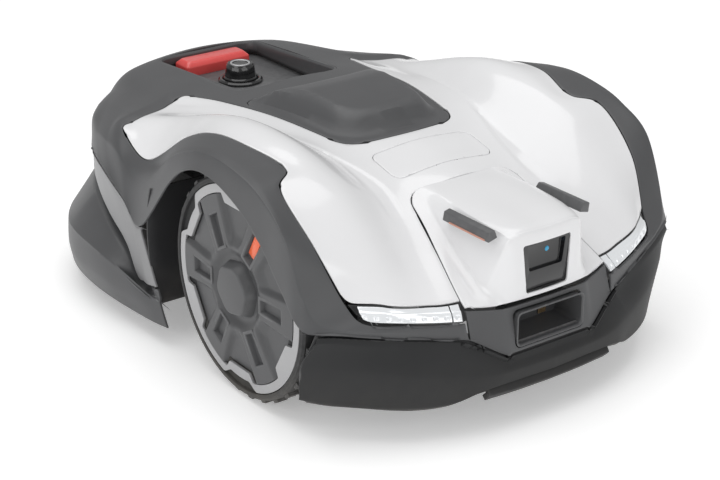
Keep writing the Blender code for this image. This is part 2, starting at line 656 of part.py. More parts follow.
def lobed(radius, depth, steps=36):
    """A round outline with six shallow lobes at the slots, which the cap and the ring share."""
    points = []
    for step in range(steps):
        angle = 2 * math.pi * step / steps
        reach = radius - depth * math.cos(LOBES * angle)
        points.append((reach * math.cos(angle), reach * math.sin(angle)))
    return points


def slot(angle, near=0.046, far=0.078, half=0.0070):
    """One radial slot of the cap."""
    corners = ((near, -half), (far, -half), (far, half), (near, half))
    return [(r * math.cos(angle) - t * math.sin(angle), r * math.sin(angle) + t * math.cos(angle))
            for r, t in corners]


def make_wheel(side):
    """One drive wheel with its tyre, rim, ring, cap, coloured insert and centre cap."""
    label = side_name(side)
    place = Vector((side * WHEEL_INNER_X, WHEEL_AXLE.y, WHEEL_AXLE.z))
    turn = Euler((0, side * math.pi / 2, 0))
    turned("tyre_" + label, [(0.1130, TYRE_WIDTH), (WHEEL_RADIUS, 0.0460), (WHEEL_RADIUS, 0.0080),
                             (0.1130, 0.0), (0.0885, 0.0), (0.0885, 0.0500), (0.1090, 0.0500),
                             (0.1090, TYRE_WIDTH)], "black_rubber", 40, place, turn)
    turned("rim_" + label, [(0, 0.0340), (0.0260, 0.0340), (0.0300, 0.0260), (0.0830, 0.0260),
                            (0.0830, 0.0480), (0.0880, 0.0480), (0.0880, 0.0040), (0.0830, 0.0040),
                            (0.0830, 0.0200), (0.0300, 0.0200), (0.0220, 0.0040), (0.0086, 0.0040),
                            (0.0086, 0.0300), (0, 0.0300)], "graphite", 24, place, turn)
    plate("wheel_ring_" + label, [circle(0.1085, 48), lobed(0.0945, 0.0055)], FACE_SEAT, TYRE_WIDTH,
          "silver_ring", place, turn)
    spacing = 2 * math.pi / LOBES
    slots = [slot(spacing * (step + 0.5)) for step in range(LOBES)]
    plate("wheel_cap_" + label, [lobed(0.0939, 0.0055)] + slots, FACE_SEAT, TYRE_WIDTH, "graphite", place, turn)
    ahead_and_up = spacing * (3.5 if side > 0 else -0.5)
    insert = slot(ahead_and_up, 0.0466, 0.0774, 0.0064)
    plate("wheel_insert_" + label, [insert], FACE_SEAT, TYRE_WIDTH - 0.0008, "orange", place, turn)
    turned("centre_cap_" + label, [(0, 0.0615), (0.0200, 0.0610), (0.0270, 0.0570), (0.0290, 0.0544),
                                   (0, 0.0544)], "graphite", 16, place, turn)
    inner = side * (TUB_HALF_WIDTH - 0.0047)
    shaft = rod_mesh("drive_shaft_" + label, (inner, place.y, place.z),
                     (side * (WHEEL_INNER_X + 0.0295), place.y, place.z), SHAFT_RADIUS, 20)
    add_piece("drive_shaft_" + label, shaft, "steel")


def make_caster(side):
    """One rear caster: a fork that swivels, with its riveted axle, and its small wheel."""
    label = side_name(side)
    pivot = Vector((side * CASTER_PIVOT.x, CASTER_PIVOT.y, 0.0))
    hub = pivot + Vector((0, CASTER_TRAIL, CASTER_RADIUS))
    bottom = REAR_STEP_Z - FIT
    crown = add_piece("caster_fork_" + label, box_mesh(
        "crown", pivot + Vector((-0.0205, -0.012, bottom - 0.009)),
        pivot + Vector((0.0205, 0.034, bottom)), 0.0015), "chassis_black")
    for lean in (1, -1):
        arm = add_cutter("arm", box_mesh("arm", hub + Vector((lean * 0.0183 - 0.0022, -0.011, -0.009)),
                                         Vector((hub.x + lean * 0.0183 + 0.0022, hub.y + 0.006, bottom - 0.002))))
        boolean(crown, arm, 'UNION')
    stem = add_cutter("stem", rod_mesh("stem", pivot + Vector((0, 0, bottom - 0.002)),
                                       pivot + Vector((0, 0, 0.121)), 0.006, 20))
    boolean(crown, stem, 'UNION')
    pin = add_cutter("axle_pin", rod_mesh("axle_pin", hub + Vector((-0.0190, 0, 0)),
                                          hub + Vector((0.0190, 0, 0)), 0.0030, 16))
    boolean(crown, pin, 'UNION')
    turned("caster_wheel_" + label, [(0.0340, 0.0130), (CASTER_RADIUS, 0.0090), (CASTER_RADIUS, -0.0090),
                                     (0.0340, -0.0130), (0.0090, -0.0150), (0.0034, -0.0150),
                                     (0.0034, 0.0150), (0.0090, 0.0150)],
           "black_rubber", 24, hub, Euler((0, math.pi / 2, 0)))


# --- Chassis and cutter -----------------------------------------------------------------


def make_chassis():
    """Tub with its cutter recess and bores, its lid, and the posts that carry the cover."""
    inner = TUB_HALF_WIDTH - TUB_WALL
    tub = add_piece("chassis_tub", box_mesh("chassis_tub", (-TUB_HALF_WIDTH, TUB_FRONT, TUB_FLOOR),
                                            (TUB_HALF_WIDTH, TUB_REAR, TUB_TOP)), "chassis_black", False)
    cavity = add_cutter("tub_cavity", box_mesh(
        "tub_cavity", (-inner, TUB_FRONT + TUB_WALL, TUB_FLOOR + TUB_WALL), (inner, TUB_REAR - TUB_WALL, 0.20)))
    step = add_cutter("rear_floor", box_mesh(
        "rear_floor", (-inner - 0.001, REAR_STEP_Y - TUB_WALL, TUB_FLOOR + 0.001),
        (inner + 0.001, TUB_REAR - 0.001, REAR_STEP_Z + TUB_WALL)))
    under = add_cutter("rear_step", box_mesh("rear_step", (-0.2, REAR_STEP_Y, 0.0), (0.2, 0.4, REAR_STEP_Z)))
    dome = add_cutter("dome", rod_mesh("dome", CUTTER + Vector((0, 0, TUB_FLOOR + 0.0005)),
                                       CUTTER + Vector((0, 0, REAR_STEP_Z + TUB_WALL)), RECESS_RADIUS + 0.003, 40))
    recess = add_cutter("recess", rod_mesh("recess", CUTTER, CUTTER + Vector((0, 0, REAR_STEP_Z)),
                                           RECESS_RADIUS, 40))
    throat = add_cutter("throat", rod_mesh("throat", CUTTER, CUTTER + Vector((0, 0, 0.14)), 0.0368, 32))
    bore = add_cutter("shaft_bore", rod_mesh("shaft_bore", (-0.2, WHEEL_AXLE.y, WHEEL_AXLE.z),
                                             (0.2, WHEEL_AXLE.y, WHEEL_AXLE.z), SHAFT_RADIUS + 0.0008, 20))
    boolean(tub, cavity)
    boolean(tub, step, 'UNION')
    boolean(tub, under)
    boolean(tub, dome, 'UNION')
    boolean(tub, recess)
    boolean(tub, throat)
    boolean(tub, bore)
    for side in (1, -1):
        foot = Vector((side * CASTER_PIVOT.x, CASTER_PIVOT.y, REAR_STEP_Z))
        boolean(tub, add_cutter("boss", rod_mesh("boss", foot + Vector((0, 0, 0.001)),
                                                 foot + Vector((0, 0, 0.027)), 0.0110, 20)), 'UNION')
        boolean(tub, add_cutter("stem_bore", rod_mesh("stem_bore", foot - Vector((0, 0, 0.01)),
                                                      foot + Vector((0, 0, 0.0240)), 0.0066, 20)))
    centre = (0.0, (TUB_FRONT + TUB_REAR) / 2)
    plate("chassis_lid", [rectangle(TUB_HALF_WIDTH, (TUB_REAR - TUB_FRONT) / 2, centre, 0.010)],
          TUB_TOP + FIT, TUB_TOP + FIT + LID, "chassis_black")
    lid_top = TUB_TOP + FIT + LID
    plate("cover_frame", [rectangle(0.140, 0.205, (0, 0.060), 0.030), rectangle(0.105, 0.165, (0, 0.060), 0.020)],
          0.1840, 0.1890, "chassis_black")
    for end, y in (("front", -0.125), ("rear", 0.205)):
        for side in (1, -1):
            name = "cover_post_%s_%s" % (end, side_name(side))
            add_piece(name, rod_mesh(name, (side * 0.122, y, lid_top + FIT),
                                     (side * 0.122, y, 0.1840 - FIT), 0.009, 16), "black_rubber")


def make_inside():
    """Battery, control board, the wheels' gear motors and the height spindle."""
    floor = REAR_STEP_Z + TUB_WALL + FIT
    add_piece("battery_pack", box_mesh("battery_pack", (-0.075, 0.166, floor), (0.075, 0.262, 0.150), 0.003),
              "chassis_black")
    add_piece("control_board", box_mesh("control_board", (-0.060, -0.228, TUB_FLOOR + TUB_WALL + FIT),
                                        (0.060, -0.152, TUB_FLOOR + TUB_WALL + 0.010)), "board_green", False)
    for side in (1, -1):
        name = "gear_motor_" + side_name(side)
        turned(name, [(0, 0.0900), (0.0160, 0.0900), (0.0240, 0.0870), (0.0240, 0.0300),
                      (0.0190, 0.0280), (0.0190, 0.0), (0, 0.0)], "steel", 24,
               Vector((side * 0.070, WHEEL_AXLE.y, WHEEL_AXLE.z)), Euler((0, side * math.pi / 2, 0)))
    spindle = Vector((0, CUTTER.y - 0.080, 0))
    turned("height_spindle", [(0, 0.1590), (0.0040, 0.1590), (0.0040, 0.1050), (0.0100, 0.1050),
                              (0.0100, floor), (0, floor)], "steel", 20, spindle)


def make_cutter():
    """Motor carrier that slides up and down, the blade disc, its blades and the skid plate."""
    carrier = turned("cutter_carrier", [(0.0360, 0.1360), (0.0360, 0.0660), (0.0068, 0.0660),
                                        (0.0068, 0.0705), (0.0300, 0.0705), (0.0300, 0.1360)],
                     "chassis_black", 32, CUTTER)
    arm = add_cutter("carrier_arm", box_mesh("carrier_arm", (-0.0080, CUTTER.y - 0.092, 0.1280),
                                             (0.0080, CUTTER.y - 0.033, 0.1360)))
    boolean(carrier, arm, 'UNION')
    spindle = Vector((0, CUTTER.y - 0.080, 0))
    boolean(carrier, add_cutter("nut", rod_mesh("nut", spindle + Vector((0, 0, 0.12)),
                                                spindle + Vector((0, 0, 0.15)), 0.0045, 20)))
    turned("cutting_motor", [(0, 0.1260), (0.0260, 0.1260), (0.0292, 0.1220), (0.0292, 0.0712),
                             (0, 0.0712)], "steel", 24, CUTTER)
    disc = turned("blade_disc", [(0, 0.0706), (0.0060, 0.0706), (0.0060, 0.0620), (0.0120, 0.0620),
                          (0.0160, 0.0475), (DISC_RADIUS, 0.0475), (DISC_RADIUS, 0.0435),
                          (0.0050, 0.0435), (0.0050, 0.0290), (0.0100, 0.0290), (0.0100, 0.0262),
                          (0, 0.0262)], "graphite", 32, CUTTER)
    turned("skid_plate", [(0.0700, 0.0370), (0.0780, 0.0350), (0.0780, 0.0330), (0.0680, 0.0298),
                          (0.0056, 0.0298), (0.0056, 0.0370)], "dark_bumper", 24, CUTTER)
    for step in range(3):
        angle = 2 * math.pi * step / 3 + math.pi / 2
        pivot = CUTTER + Vector((math.cos(angle), math.sin(angle), 0)) * BLADE_PIVOT_RADIUS
        turn = Euler((0, 0, angle))
        outline = [(-0.0060, -0.0060), (0.0260, -0.0080), (0.0290, 0.0), (0.0260, 0.0080), (-0.0060, 0.0060)]
        plate("blade_%d" % (step + 1), [outline, circle(0.0032, 12)], 0.0404, 0.0412, "steel", pivot, turn)
        for pin_name, radius, low, high in (("pin", 0.0028, 0.0385, 0.0440), ("head", 0.0050, 0.0375, 0.0400)):
            pin = rod_mesh(pin_name, pivot + Vector((0, 0, low)), pivot + Vector((0, 0, high)), radius, 12)
            boolean(disc, add_cutter(pin_name, pin), 'UNION')


clear_scene()
PARTS = make_collection(OBJECT)
CUTTERS = make_collection("cutters", hidden=True)
half_cover = cover_grid()
whole_cover = mirrored(half_cover)
make_deck(whole_cover)
make_hood(whole_cover)
make_white(whole_cover)
make_nose()
make_mask()
make_bumper(half_cover)
make_belt_and_skirt(half_cover)
make_controls()
make_chassis()
make_inside()
make_cutter()
for each_side in (1, -1):
    make_fender(half_cover, each_side)
    make_headlight(each_side)
    make_sensor_block(each_side)
    make_wheel(each_side)
    make_caster(each_side)
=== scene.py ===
"""Looks of the robotic lawn mower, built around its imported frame.

Everything is in metres in the frame's own axes: the mower drives towards -Y, its left side is +X
and it stands on z = 0. The cover is one smooth surface through long rails from tail to nose, and
each panel is the stretch of that surface between its seams.
"""

import json
import logging
import math
from dataclasses import dataclass
from enum import Enum
from typing import Callable, Iterable, Optional, Sequence

import bmesh
import bpy
from mathutils import Matrix, Vector
from mathutils.bvhtree import BVHTree

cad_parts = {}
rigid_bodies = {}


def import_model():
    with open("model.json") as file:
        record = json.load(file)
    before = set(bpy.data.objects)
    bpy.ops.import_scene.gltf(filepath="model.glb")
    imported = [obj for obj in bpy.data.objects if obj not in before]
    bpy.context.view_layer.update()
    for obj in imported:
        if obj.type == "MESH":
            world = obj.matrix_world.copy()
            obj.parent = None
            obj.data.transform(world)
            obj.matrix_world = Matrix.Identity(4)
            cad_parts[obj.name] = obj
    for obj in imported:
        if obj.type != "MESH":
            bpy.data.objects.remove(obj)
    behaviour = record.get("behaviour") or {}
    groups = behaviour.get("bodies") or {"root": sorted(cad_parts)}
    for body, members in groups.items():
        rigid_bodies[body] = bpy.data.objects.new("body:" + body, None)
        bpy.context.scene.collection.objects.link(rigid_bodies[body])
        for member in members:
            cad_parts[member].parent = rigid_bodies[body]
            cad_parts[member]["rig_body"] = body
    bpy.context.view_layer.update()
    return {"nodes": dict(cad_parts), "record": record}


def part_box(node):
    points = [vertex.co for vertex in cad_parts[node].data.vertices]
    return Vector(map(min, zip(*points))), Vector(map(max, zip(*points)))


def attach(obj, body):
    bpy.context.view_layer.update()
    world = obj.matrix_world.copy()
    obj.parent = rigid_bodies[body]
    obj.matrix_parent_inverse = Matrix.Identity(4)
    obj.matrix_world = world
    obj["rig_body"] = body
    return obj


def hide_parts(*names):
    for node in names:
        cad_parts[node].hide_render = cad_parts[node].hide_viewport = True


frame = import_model()
LOG = logging.getLogger("lawn_mower")

Point = tuple[float, float, float]
Place = Callable[[float, float], Vector]
Test = Callable[[float, float], bool]

SEAM = 0.0012             # gap between neighbouring panels
SHELL = 0.0025            # wall of the cover panels
EDGE = 0.0005             # chamfer of moulded edges
SHARP = math.radians(28)  # folds steeper than this are shaded as edges
UP = Vector((0.0, 0.0, 1.0))

# The core of the body: a panel's outer side is the side away from this box
CORE_LO = Vector((-0.150, -0.225, 0.090))
CORE_HI = Vector((0.150, 0.245, 0.140))


class Side(Enum):
    """The mower's own left and right, as the sign of x."""

    LEFT = 1
    RIGHT = -1

    @property
    def label(self) -> str:
        """The side's word in piece names."""
        return self.name.lower()


# --- Finishes ---------------------------------------------------------------------------


class Pattern(Enum):
    """What the grain of a finish looks like, as how far it is stretched along each axis."""

    MOULDED = (1.0, 1.0, 1.0)
    BRUSHED = (1.0, 1.0, 14.0)


@dataclass(frozen=True)
class Finish:
    """One finish of the mower's surfaces.

    Attributes:
        slot: the record's material slot.
        colour: base colour, linear.
        roughness: middle of the roughness.
        metallic: 0 or 1 for metal, or between for metallic paint.
        coat: clear coat on top.
        grain: grain cells per metre.
        depth: height of the grain in metres.
        mottle: how far the colour drifts.
        wear: how far convex edges are painted lighter, partly as rubbed wear and partly as a painted edge
            highlight.
        dust: how much dust lies on the low parts.
        glow: strength of its own light.
        shine: how strongly its surface reflects.
        pattern: how the grain is stretched.
    """

    slot: str
    colour: Point
    roughness: float
    metallic: float = 0.0
    coat: float = 0.0
    grain: float = 1400.0
    depth: float = 0.00003
    mottle: float = 0.10
    wear: float = 0.25
    dust: float = 0.0
    glow: float = 0.0
    shine: float = 0.5
    pattern: Pattern = Pattern.MOULDED


class Look(Enum):
    """The mower's finishes."""

    WHITE = Finish("white_gloss", (0.84, 0.84, 0.85), 0.20, coat=0.5, grain=500, depth=0.00001,
                   mottle=0.02, wear=0.10)
    GRAPHITE = Finish("graphite", (0.078, 0.079, 0.082), 0.44, mottle=0.10, wear=0.30)
    BUMPER = Finish("dark_bumper", (0.024, 0.0245, 0.0255), 0.55, mottle=0.12, wear=0.25,
                    dust=0.10, shine=0.28)
    BELT = Finish("belt_grey", (0.25, 0.25, 0.255), 0.40, mottle=0.06, wear=0.20)
    TYRE = Finish("tyre_rubber", (0.016, 0.016, 0.017), 0.72, grain=700, depth=0.00006,
                  wear=0.35, dust=0.30)
    CASTER = Finish("caster_rubber", (0.020, 0.020, 0.021), 0.75, grain=700, depth=0.00006, dust=0.35)
    POST = Finish("post_rubber", (0.018, 0.018, 0.018), 0.80, grain=600, depth=0.00005)
    RING = Finish("silver_ring", (0.40, 0.40, 0.405), 0.34, metallic=0.25, mottle=0.06, wear=0.30)
    ORANGE = Finish("orange_insert", (0.92, 0.13, 0.025), 0.34, coat=0.3, mottle=0.05, wear=0.10)
    RED = Finish("stop_red", (0.78, 0.070, 0.065), 0.36, coat=0.2, mottle=0.06, wear=0.20)
    GLOSS = Finish("black_gloss", (0.010, 0.010, 0.011), 0.12, coat=0.4, grain=400, depth=0.000004,
                   mottle=0.05, wear=0.10)
    KNOB = Finish("knob_silver", (0.55, 0.55, 0.56), 0.30, metallic=0.6, mottle=0.05)
    LAMP = Finish("lamp", (0.86, 0.88, 0.90), 0.12, metallic=0.30, coat=1.0, grain=260,
                  depth=0.00003, mottle=0.04, wear=0.0, glow=0.12)
    STEEL = Finish("steel", (0.56, 0.57, 0.58), 0.30, metallic=1.0, grain=900, depth=0.00001,
                   mottle=0.10, wear=0.15, pattern=Pattern.BRUSHED)
    CHASSIS = Finish("chassis_black", (0.022, 0.022, 0.024), 0.58, mottle=0.15, wear=0.30, dust=0.30)
    BRASS = Finish("contact_brass", (0.75, 0.50, 0.24), 0.28, metallic=1.0, grain=900,
                   depth=0.00001, mottle=0.12, pattern=Pattern.BRUSHED)
    SALMON = Finish("orange_insert", (0.62, 0.30, 0.22), 0.35, mottle=0.05, wear=0.05)
    BLUE = Finish("lamp", (0.01, 0.24, 0.42), 0.20, coat=0.5, wear=0.0, glow=0.35)
    BOARD = Finish("board_green", (0.02, 0.16, 0.07), 0.45, coat=0.3, grain=300, depth=0.00006,
                   mottle=0.30)


class Effects:
    """Shader groups that every finish uses: grain, convex edges painted lighter (rubbed wear and a painted
    edge highlight) and dust.
    """

    def __init__(self) -> None:
        """Build the three groups once."""
        self.grain = self._grain()
        self.wear = self._edge_wear_and_highlight_group()
        self.dust = self._dust()

    @staticmethod
    def _group(name: str, inputs: dict[str, str], outputs: dict[str, str]) -> bpy.types.NodeTree:
        """Start a shader group.

        Args:
            name: the group's name.
            inputs: socket types by name.
            outputs: socket types by name.

        Returns:
            The node tree, with its input and output nodes in it.
        """
        tree = bpy.data.node_groups.new(name, "ShaderNodeTree")
        for label, kind in inputs.items():
            tree.interface.new_socket(label, in_out="INPUT", socket_type=kind)
        for label, kind in outputs.items():
            tree.interface.new_socket(label, in_out="OUTPUT", socket_type=kind)
        tree.nodes.new("NodeGroupInput").name = "in"
        tree.nodes.new("NodeGroupOutput").name = "out"
        return tree

    @staticmethod
    def _finish_mask(tree: bpy.types.NodeTree, *factors: bpy.types.NodeSocket) -> None:
        """Multiply factors with the group's amount and put them out as its mask.

        Args:
            tree: the group.
            factors: what the mask is made of.
        """
        product = factors[0]
        for factor in (*factors[1:], tree.nodes["in"].outputs["Amount"]):
            times = tree.nodes.new("ShaderNodeMath")
            times.operation = "MULTIPLY"
            tree.links.new(product, times.inputs[0])
            tree.links.new(factor, times.inputs[1])
            product = times.outputs["Value"]
        tree.links.new(product, tree.nodes["out"].inputs["Mask"])

    def _grain(self) -> bpy.types.NodeTree:
        """Fine moulding grain and the slow drift of colour under it."""
        tree = self._group("moulding_grain", {"Vector": "NodeSocketVector", "Cells": "NodeSocketFloat"},
                           {"Height": "NodeSocketFloat", "Drift": "NodeSocketFloat"})
        link, nodes = tree.links.new, tree.nodes
        fine = nodes.new("ShaderNodeTexNoise")
        fine.inputs["Detail"].default_value = 3.0
        slow = nodes.new("ShaderNodeTexNoise")
        slow.inputs["Scale"].default_value = 22.0
        slow.inputs["Detail"].default_value = 2.0
        for noise in (fine, slow):
            link(nodes["in"].outputs["Vector"], noise.inputs["Vector"])
        link(nodes["in"].outputs["Cells"], fine.inputs["Scale"])
        link(fine.outputs["Fac"], nodes["out"].inputs["Height"])
        link(slow.outputs["Fac"], nodes["out"].inputs["Drift"])
        return tree

    def _edge_wear_and_highlight_group(self) -> bpy.types.NodeTree:
        """A mask of convex edges, broken up by noise, that are painted lighter: partly rubbed wear, partly a
        painted edge highlight.
        """
        tree = self._group("rubbed_edges", {"Vector": "NodeSocketVector", "Amount": "NodeSocketFloat"},
                           {"Mask": "NodeSocketFloat"})
        link, nodes = tree.links.new, tree.nodes
        # Convex edges found by pointiness are painted lighter: rubbed wear on some finishes, a painted edge
        # highlight on the dark ones.
        shape = nodes.new("ShaderNodeNewGeometry")
        spread = nodes.new("ShaderNodeMapRange")
        spread.inputs["From Min"].default_value = 0.515
        spread.inputs["From Max"].default_value = 0.620
        noise = nodes.new("ShaderNodeTexNoise")
        noise.inputs["Scale"].default_value = 160.0
        link(shape.outputs["Pointiness"], spread.inputs["Value"])
        link(nodes["in"].outputs["Vector"], noise.inputs["Vector"])
        self._finish_mask(tree, spread.outputs["Result"], noise.outputs["Fac"])
        return tree

    def _dust(self) -> bpy.types.NodeTree:
        """A mask of dust that thickens towards the ground."""
        tree = self._group("ground_dust", {"Vector": "NodeSocketVector", "Amount": "NodeSocketFloat"},
                           {"Mask": "NodeSocketFloat"})
        link, nodes = tree.links.new, tree.nodes
        split = nodes.new("ShaderNodeSeparateXYZ")
        low = nodes.new("ShaderNodeMapRange")
        low.inputs["From Min"].default_value = 0.090
        low.inputs["From Max"].default_value = 0.0
        noise = nodes.new("ShaderNodeTexNoise")
        noise.inputs["Scale"].default_value = 60.0
        noise.inputs["Detail"].default_value = 6.0
        link(nodes["in"].outputs["Vector"], split.inputs["Vector"])
        link(nodes["in"].outputs["Vector"], noise.inputs["Vector"])
        link(split.outputs["Z"], low.inputs["Value"])
        self._finish_mask(tree, low.outputs["Result"], noise.outputs["Fac"])
        return tree


class Paintshop:
    """Makes each finish's material once."""

    # Colour painted on convex edges: partly rubbed wear, partly a painted edge highlight.
    WORN_AND_HIGHLIGHT_COLOUR = (0.62, 0.62, 0.62, 1.0)
    DUST = (0.30, 0.27, 0.22, 1.0)

    def __init__(self) -> None:
        """Build the shared shader groups."""
        self.effects = Effects()

    def material(self, look: Look) -> bpy.types.Material:
        """The material of a finish.

        Args:
            look: the finish.

        Returns:
            Its material, made on first use.
        """
        known = bpy.data.materials.get("finish_" + look.name.lower())
        return known or self._make(look.name.lower(), look.value)

    def _layer(self, tree: bpy.types.NodeTree, below: bpy.types.NodeSocket,
               colour: Sequence[float], mask: bpy.types.NodeSocket) -> bpy.types.NodeSocket:
        """Lay a colour over another where a mask says.

        Args:
            tree: the material's nodes.
            below: colour underneath.
            colour: colour on top.
            mask: where the top shows.

        Returns:
            The mixed colour.
        """
        mix = tree.nodes.new("ShaderNodeMix")
        mix.data_type = "RGBA"
        mix.inputs["B"].default_value = colour
        tree.links.new(mask, mix.inputs["Factor"])
        tree.links.new(below, mix.inputs["A"])
        return mix.outputs["Result"]

    def _make(self, name: str, finish: Finish) -> bpy.types.Material:
        """Build one finish's nodes.

        Args:
            name: the finish's name.
            finish: what it looks like.

        Returns:
            The new material.
        """
        material = bpy.data.materials.new("finish_" + name)
        material.use_nodes = True
        tree = material.node_tree
        link, nodes = tree.links.new, tree.nodes
        shader = nodes["Principled BSDF"]
        where = nodes.new("ShaderNodeTexCoord")
        stretch = nodes.new("ShaderNodeMapping")
        stretch.inputs["Scale"].default_value = finish.pattern.value
        link(where.outputs["Object"], stretch.inputs["Vector"])
        grain = self._place(tree, self.effects.grain, stretch.outputs["Vector"])
        grain.inputs["Cells"].default_value = finish.grain
        dark = tuple(channel * (1.0 - finish.mottle) for channel in finish.colour) + (1.0,)
        light = tuple(channel * (1.0 + finish.mottle) for channel in finish.colour) + (1.0,)
        base = nodes.new("ShaderNodeMix")
        base.data_type = "RGBA"
        base.inputs["A"].default_value = dark
        base.inputs["B"].default_value = tuple(min(channel, 1.0) for channel in light)
        link(grain.outputs["Drift"], base.inputs["Factor"])
        colour = base.outputs["Result"]
        # The edge layer paints convex edges lighter, partly as wear and partly as a painted highlight; the
        # dust layer is dust.
        for group, amount, over in ((self.effects.wear, finish.wear, self.WORN_AND_HIGHLIGHT_COLOUR),
                                    (self.effects.dust, finish.dust, self.DUST)):
            if amount:
                mask = self._place(tree, group, where.outputs["Object"])
                mask.inputs["Amount"].default_value = amount
                colour = self._layer(tree, colour, over, mask.outputs["Mask"])
        link(colour, shader.inputs["Base Color"])
        rough = nodes.new("ShaderNodeMapRange")
        rough.inputs["To Min"].default_value = finish.roughness * 0.85
        rough.inputs["To Max"].default_value = finish.roughness * 1.15
        link(grain.outputs["Height"], rough.inputs["Value"])
        link(rough.outputs["Result"], shader.inputs["Roughness"])
        bump = nodes.new("ShaderNodeBump")
        bump.inputs["Strength"].default_value = 1.0
        bump.inputs["Distance"].default_value = finish.depth
        link(grain.outputs["Height"], bump.inputs["Height"])
        link(bump.outputs["Normal"], shader.inputs["Normal"])
        shader.inputs["Metallic"].default_value = finish.metallic
        shader.inputs["Specular IOR Level"].default_value = finish.shine
        shader.inputs["Coat Weight"].default_value = finish.coat
        shader.inputs["Coat Roughness"].default_value = 0.06
        if finish.glow:
            shader.inputs["Emission Color"].default_value = finish.colour + (1.0,)
            shader.inputs["Emission Strength"].default_value = finish.glow
        return material

    @staticmethod
    def _place(tree: bpy.types.NodeTree, group: bpy.types.NodeTree,
               vector: bpy.types.NodeSocket) -> bpy.types.Node:
        """Put a shared group into a material.

        Args:
            tree: the material's nodes.
            group: the shared group.
            vector: where it reads its place from.

        Returns:
            The group node.
        """
        node = tree.nodes.new("ShaderNodeGroup")
        node.node_tree = group
        tree.links.new(vector, node.inputs["Vector"])
        return node


class Workshop:
    """Turns meshes into finished pieces that ride on the frame's bodies."""

    def __init__(self) -> None:
        """Open the paint shop."""
        self.paint = Paintshop()

    def add(self, name: str, bm: bmesh.types.BMesh, look: Look, body: str,
            replaces: Sequence[str] = (), wall: float = 0.0, edge: float = 0.0,
            holes: Iterable[bpy.types.Object] = ()) -> bpy.types.Object:
        """Finish one piece.

        Args:
            name: the piece's name.
            bm: its mesh, which is freed.
            look: its finish.
            body: the body it rides on.
            replaces: the frame's nodes that it stands for.
            wall: thickness grown inwards from an open skin.
            edge: width of the chamfer on its edges.
            holes: solids to cut away, which are removed.

        Returns:
            The piece.
        """
        mesh = bpy.data.meshes.new(name)
        bm.to_mesh(mesh)
        bm.free()
        piece = bpy.data.objects.new(name, mesh)
        bpy.context.scene.collection.objects.link(piece)
        if wall:
            solid = piece.modifiers.new("wall", "SOLIDIFY")
            solid.thickness = wall
            solid.offset = -1.0
        cutters = list(holes)
        for cutter in cutters:
            cut = piece.modifiers.new("hole", "BOOLEAN")
            cut.operation = "DIFFERENCE"
            cut.solver = "EXACT"
            cut.object = cutter
        if edge:
            bevel = piece.modifiers.new("edge", "BEVEL")
            bevel.width = edge
            bevel.segments = 2
            bevel.limit_method = "ANGLE"
            bevel.angle_limit = math.radians(40)
            bevel.use_clamp_overlap = False
        self.settle(piece)
        for cutter in cutters:
            bpy.data.objects.remove(cutter)
        piece.data.materials.clear()
        piece.data.materials.append(self.paint.material(look))
        piece.data.shade_smooth()
        piece.data.set_sharp_from_angle(angle=SHARP)
        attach(piece, body)
        if replaces:
            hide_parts(*replaces)
        LOG.info("%s: %d faces", name, len(piece.data.polygons))
        return piece

    @staticmethod
    def settle(piece: bpy.types.Object) -> None:
        """Turn a piece's modifiers into its mesh.

        Args:
            piece: the piece to settle.
        """
        if not piece.modifiers:
            return
        graph = bpy.context.evaluated_depsgraph_get()
        settled = bpy.data.meshes.new_from_object(piece.evaluated_get(graph))
        settled.name = piece.name
        piece.modifiers.clear()
        piece.data = settled

    @staticmethod
    def cutter(bm: bmesh.types.BMesh) -> bpy.types.Object:
        """A solid that only cuts.

        Args:
            bm: its mesh, which is freed.

        Returns:
            The cutting object.
        """
        mesh = bpy.data.meshes.new("cutter")
        bmesh.ops.recalc_face_normals(bm, faces=bm.faces)
        bm.to_mesh(mesh)
        bm.free()
        tool = bpy.data.objects.new("cutter", mesh)
        bpy.context.scene.collection.objects.link(tool)
        return tool

    def dress(self, look: Look, *nodes: str) -> None:
        """Give nodes of the frame a finish.

        Args:
            look: the finish.
            nodes: the nodes' names.
        """
        for name in nodes:
            node = frame["nodes"][name]
            node.data.materials.clear()
            node.data.materials.append(self.paint.material(look))
            LOG.info("%s: dressed in %s", name, look.value.slot)


# --- Shapes -----------------------------------------------------------------------------


def smooth_step(low: float, high: float, value: float) -> float:
    """0 below low, 1 above high and a smooth rise between them."""
    share = min(max((value - low) / (high - low), 0.0), 1.0)
    return share * share * (3.0 - 2.0 * share)


def soft_min(first: float, second: float, radius: float) -> float:
    """The smaller of two heights, with the corner between them rounded."""
    blend = max(radius - abs(first - second), 0.0) / radius
    return min(first, second) - blend * blend * radius / 4.0


def outward(point: Vector) -> Vector:
    """The direction from the body's core out to a point of the cover."""
    nearest = Vector(min(max(value, low), high)
                     for value, low, high in zip(point, CORE_LO, CORE_HI))
    return (point - nearest).normalized()


def forwards(_point: Vector) -> Vector:
    """The direction that the mower drives in, for pieces that face it."""
    return Vector((0.0, -1.0, 0.0))


def smooth_point(points: Sequence[Vector], position: float,
                 folds: Optional[Sequence[float]] = None, mirrored: bool = False) -> Vector:
    """A point along a smooth curve.

    Args:
        points: what the curve runs through.
        position: where along it, counted in points.
        folds: for each point, 0 where the curve is smooth to 1 where it folds.
        mirrored: True if the curve goes on as its mirror image before its first point.

    Returns:
        The point on the curve.
    """
    index = min(int(position), len(points) - 2)
    share = position - index
    start, end = points[index], points[index + 1]
    chord = end - start
    leave, arrive = chord, chord
    if index:
        leave = (end - points[index - 1]) / 2
    elif mirrored:
        leave = Vector((end.x - start.x, 0.0, 0.0))
    if index + 2 < len(points):
        arrive = (points[index + 2] - start) / 2
    if folds:
        leave = leave.lerp(chord, folds[index])
        arrive = arrive.lerp(chord, folds[index + 1])
    square, cube = share * share, share * share * share
    return ((2 * cube - 3 * square + 1) * start + (cube - 2 * square + share) * leave
            + (3 * square - 2 * cube) * end + (cube - square) * arrive)


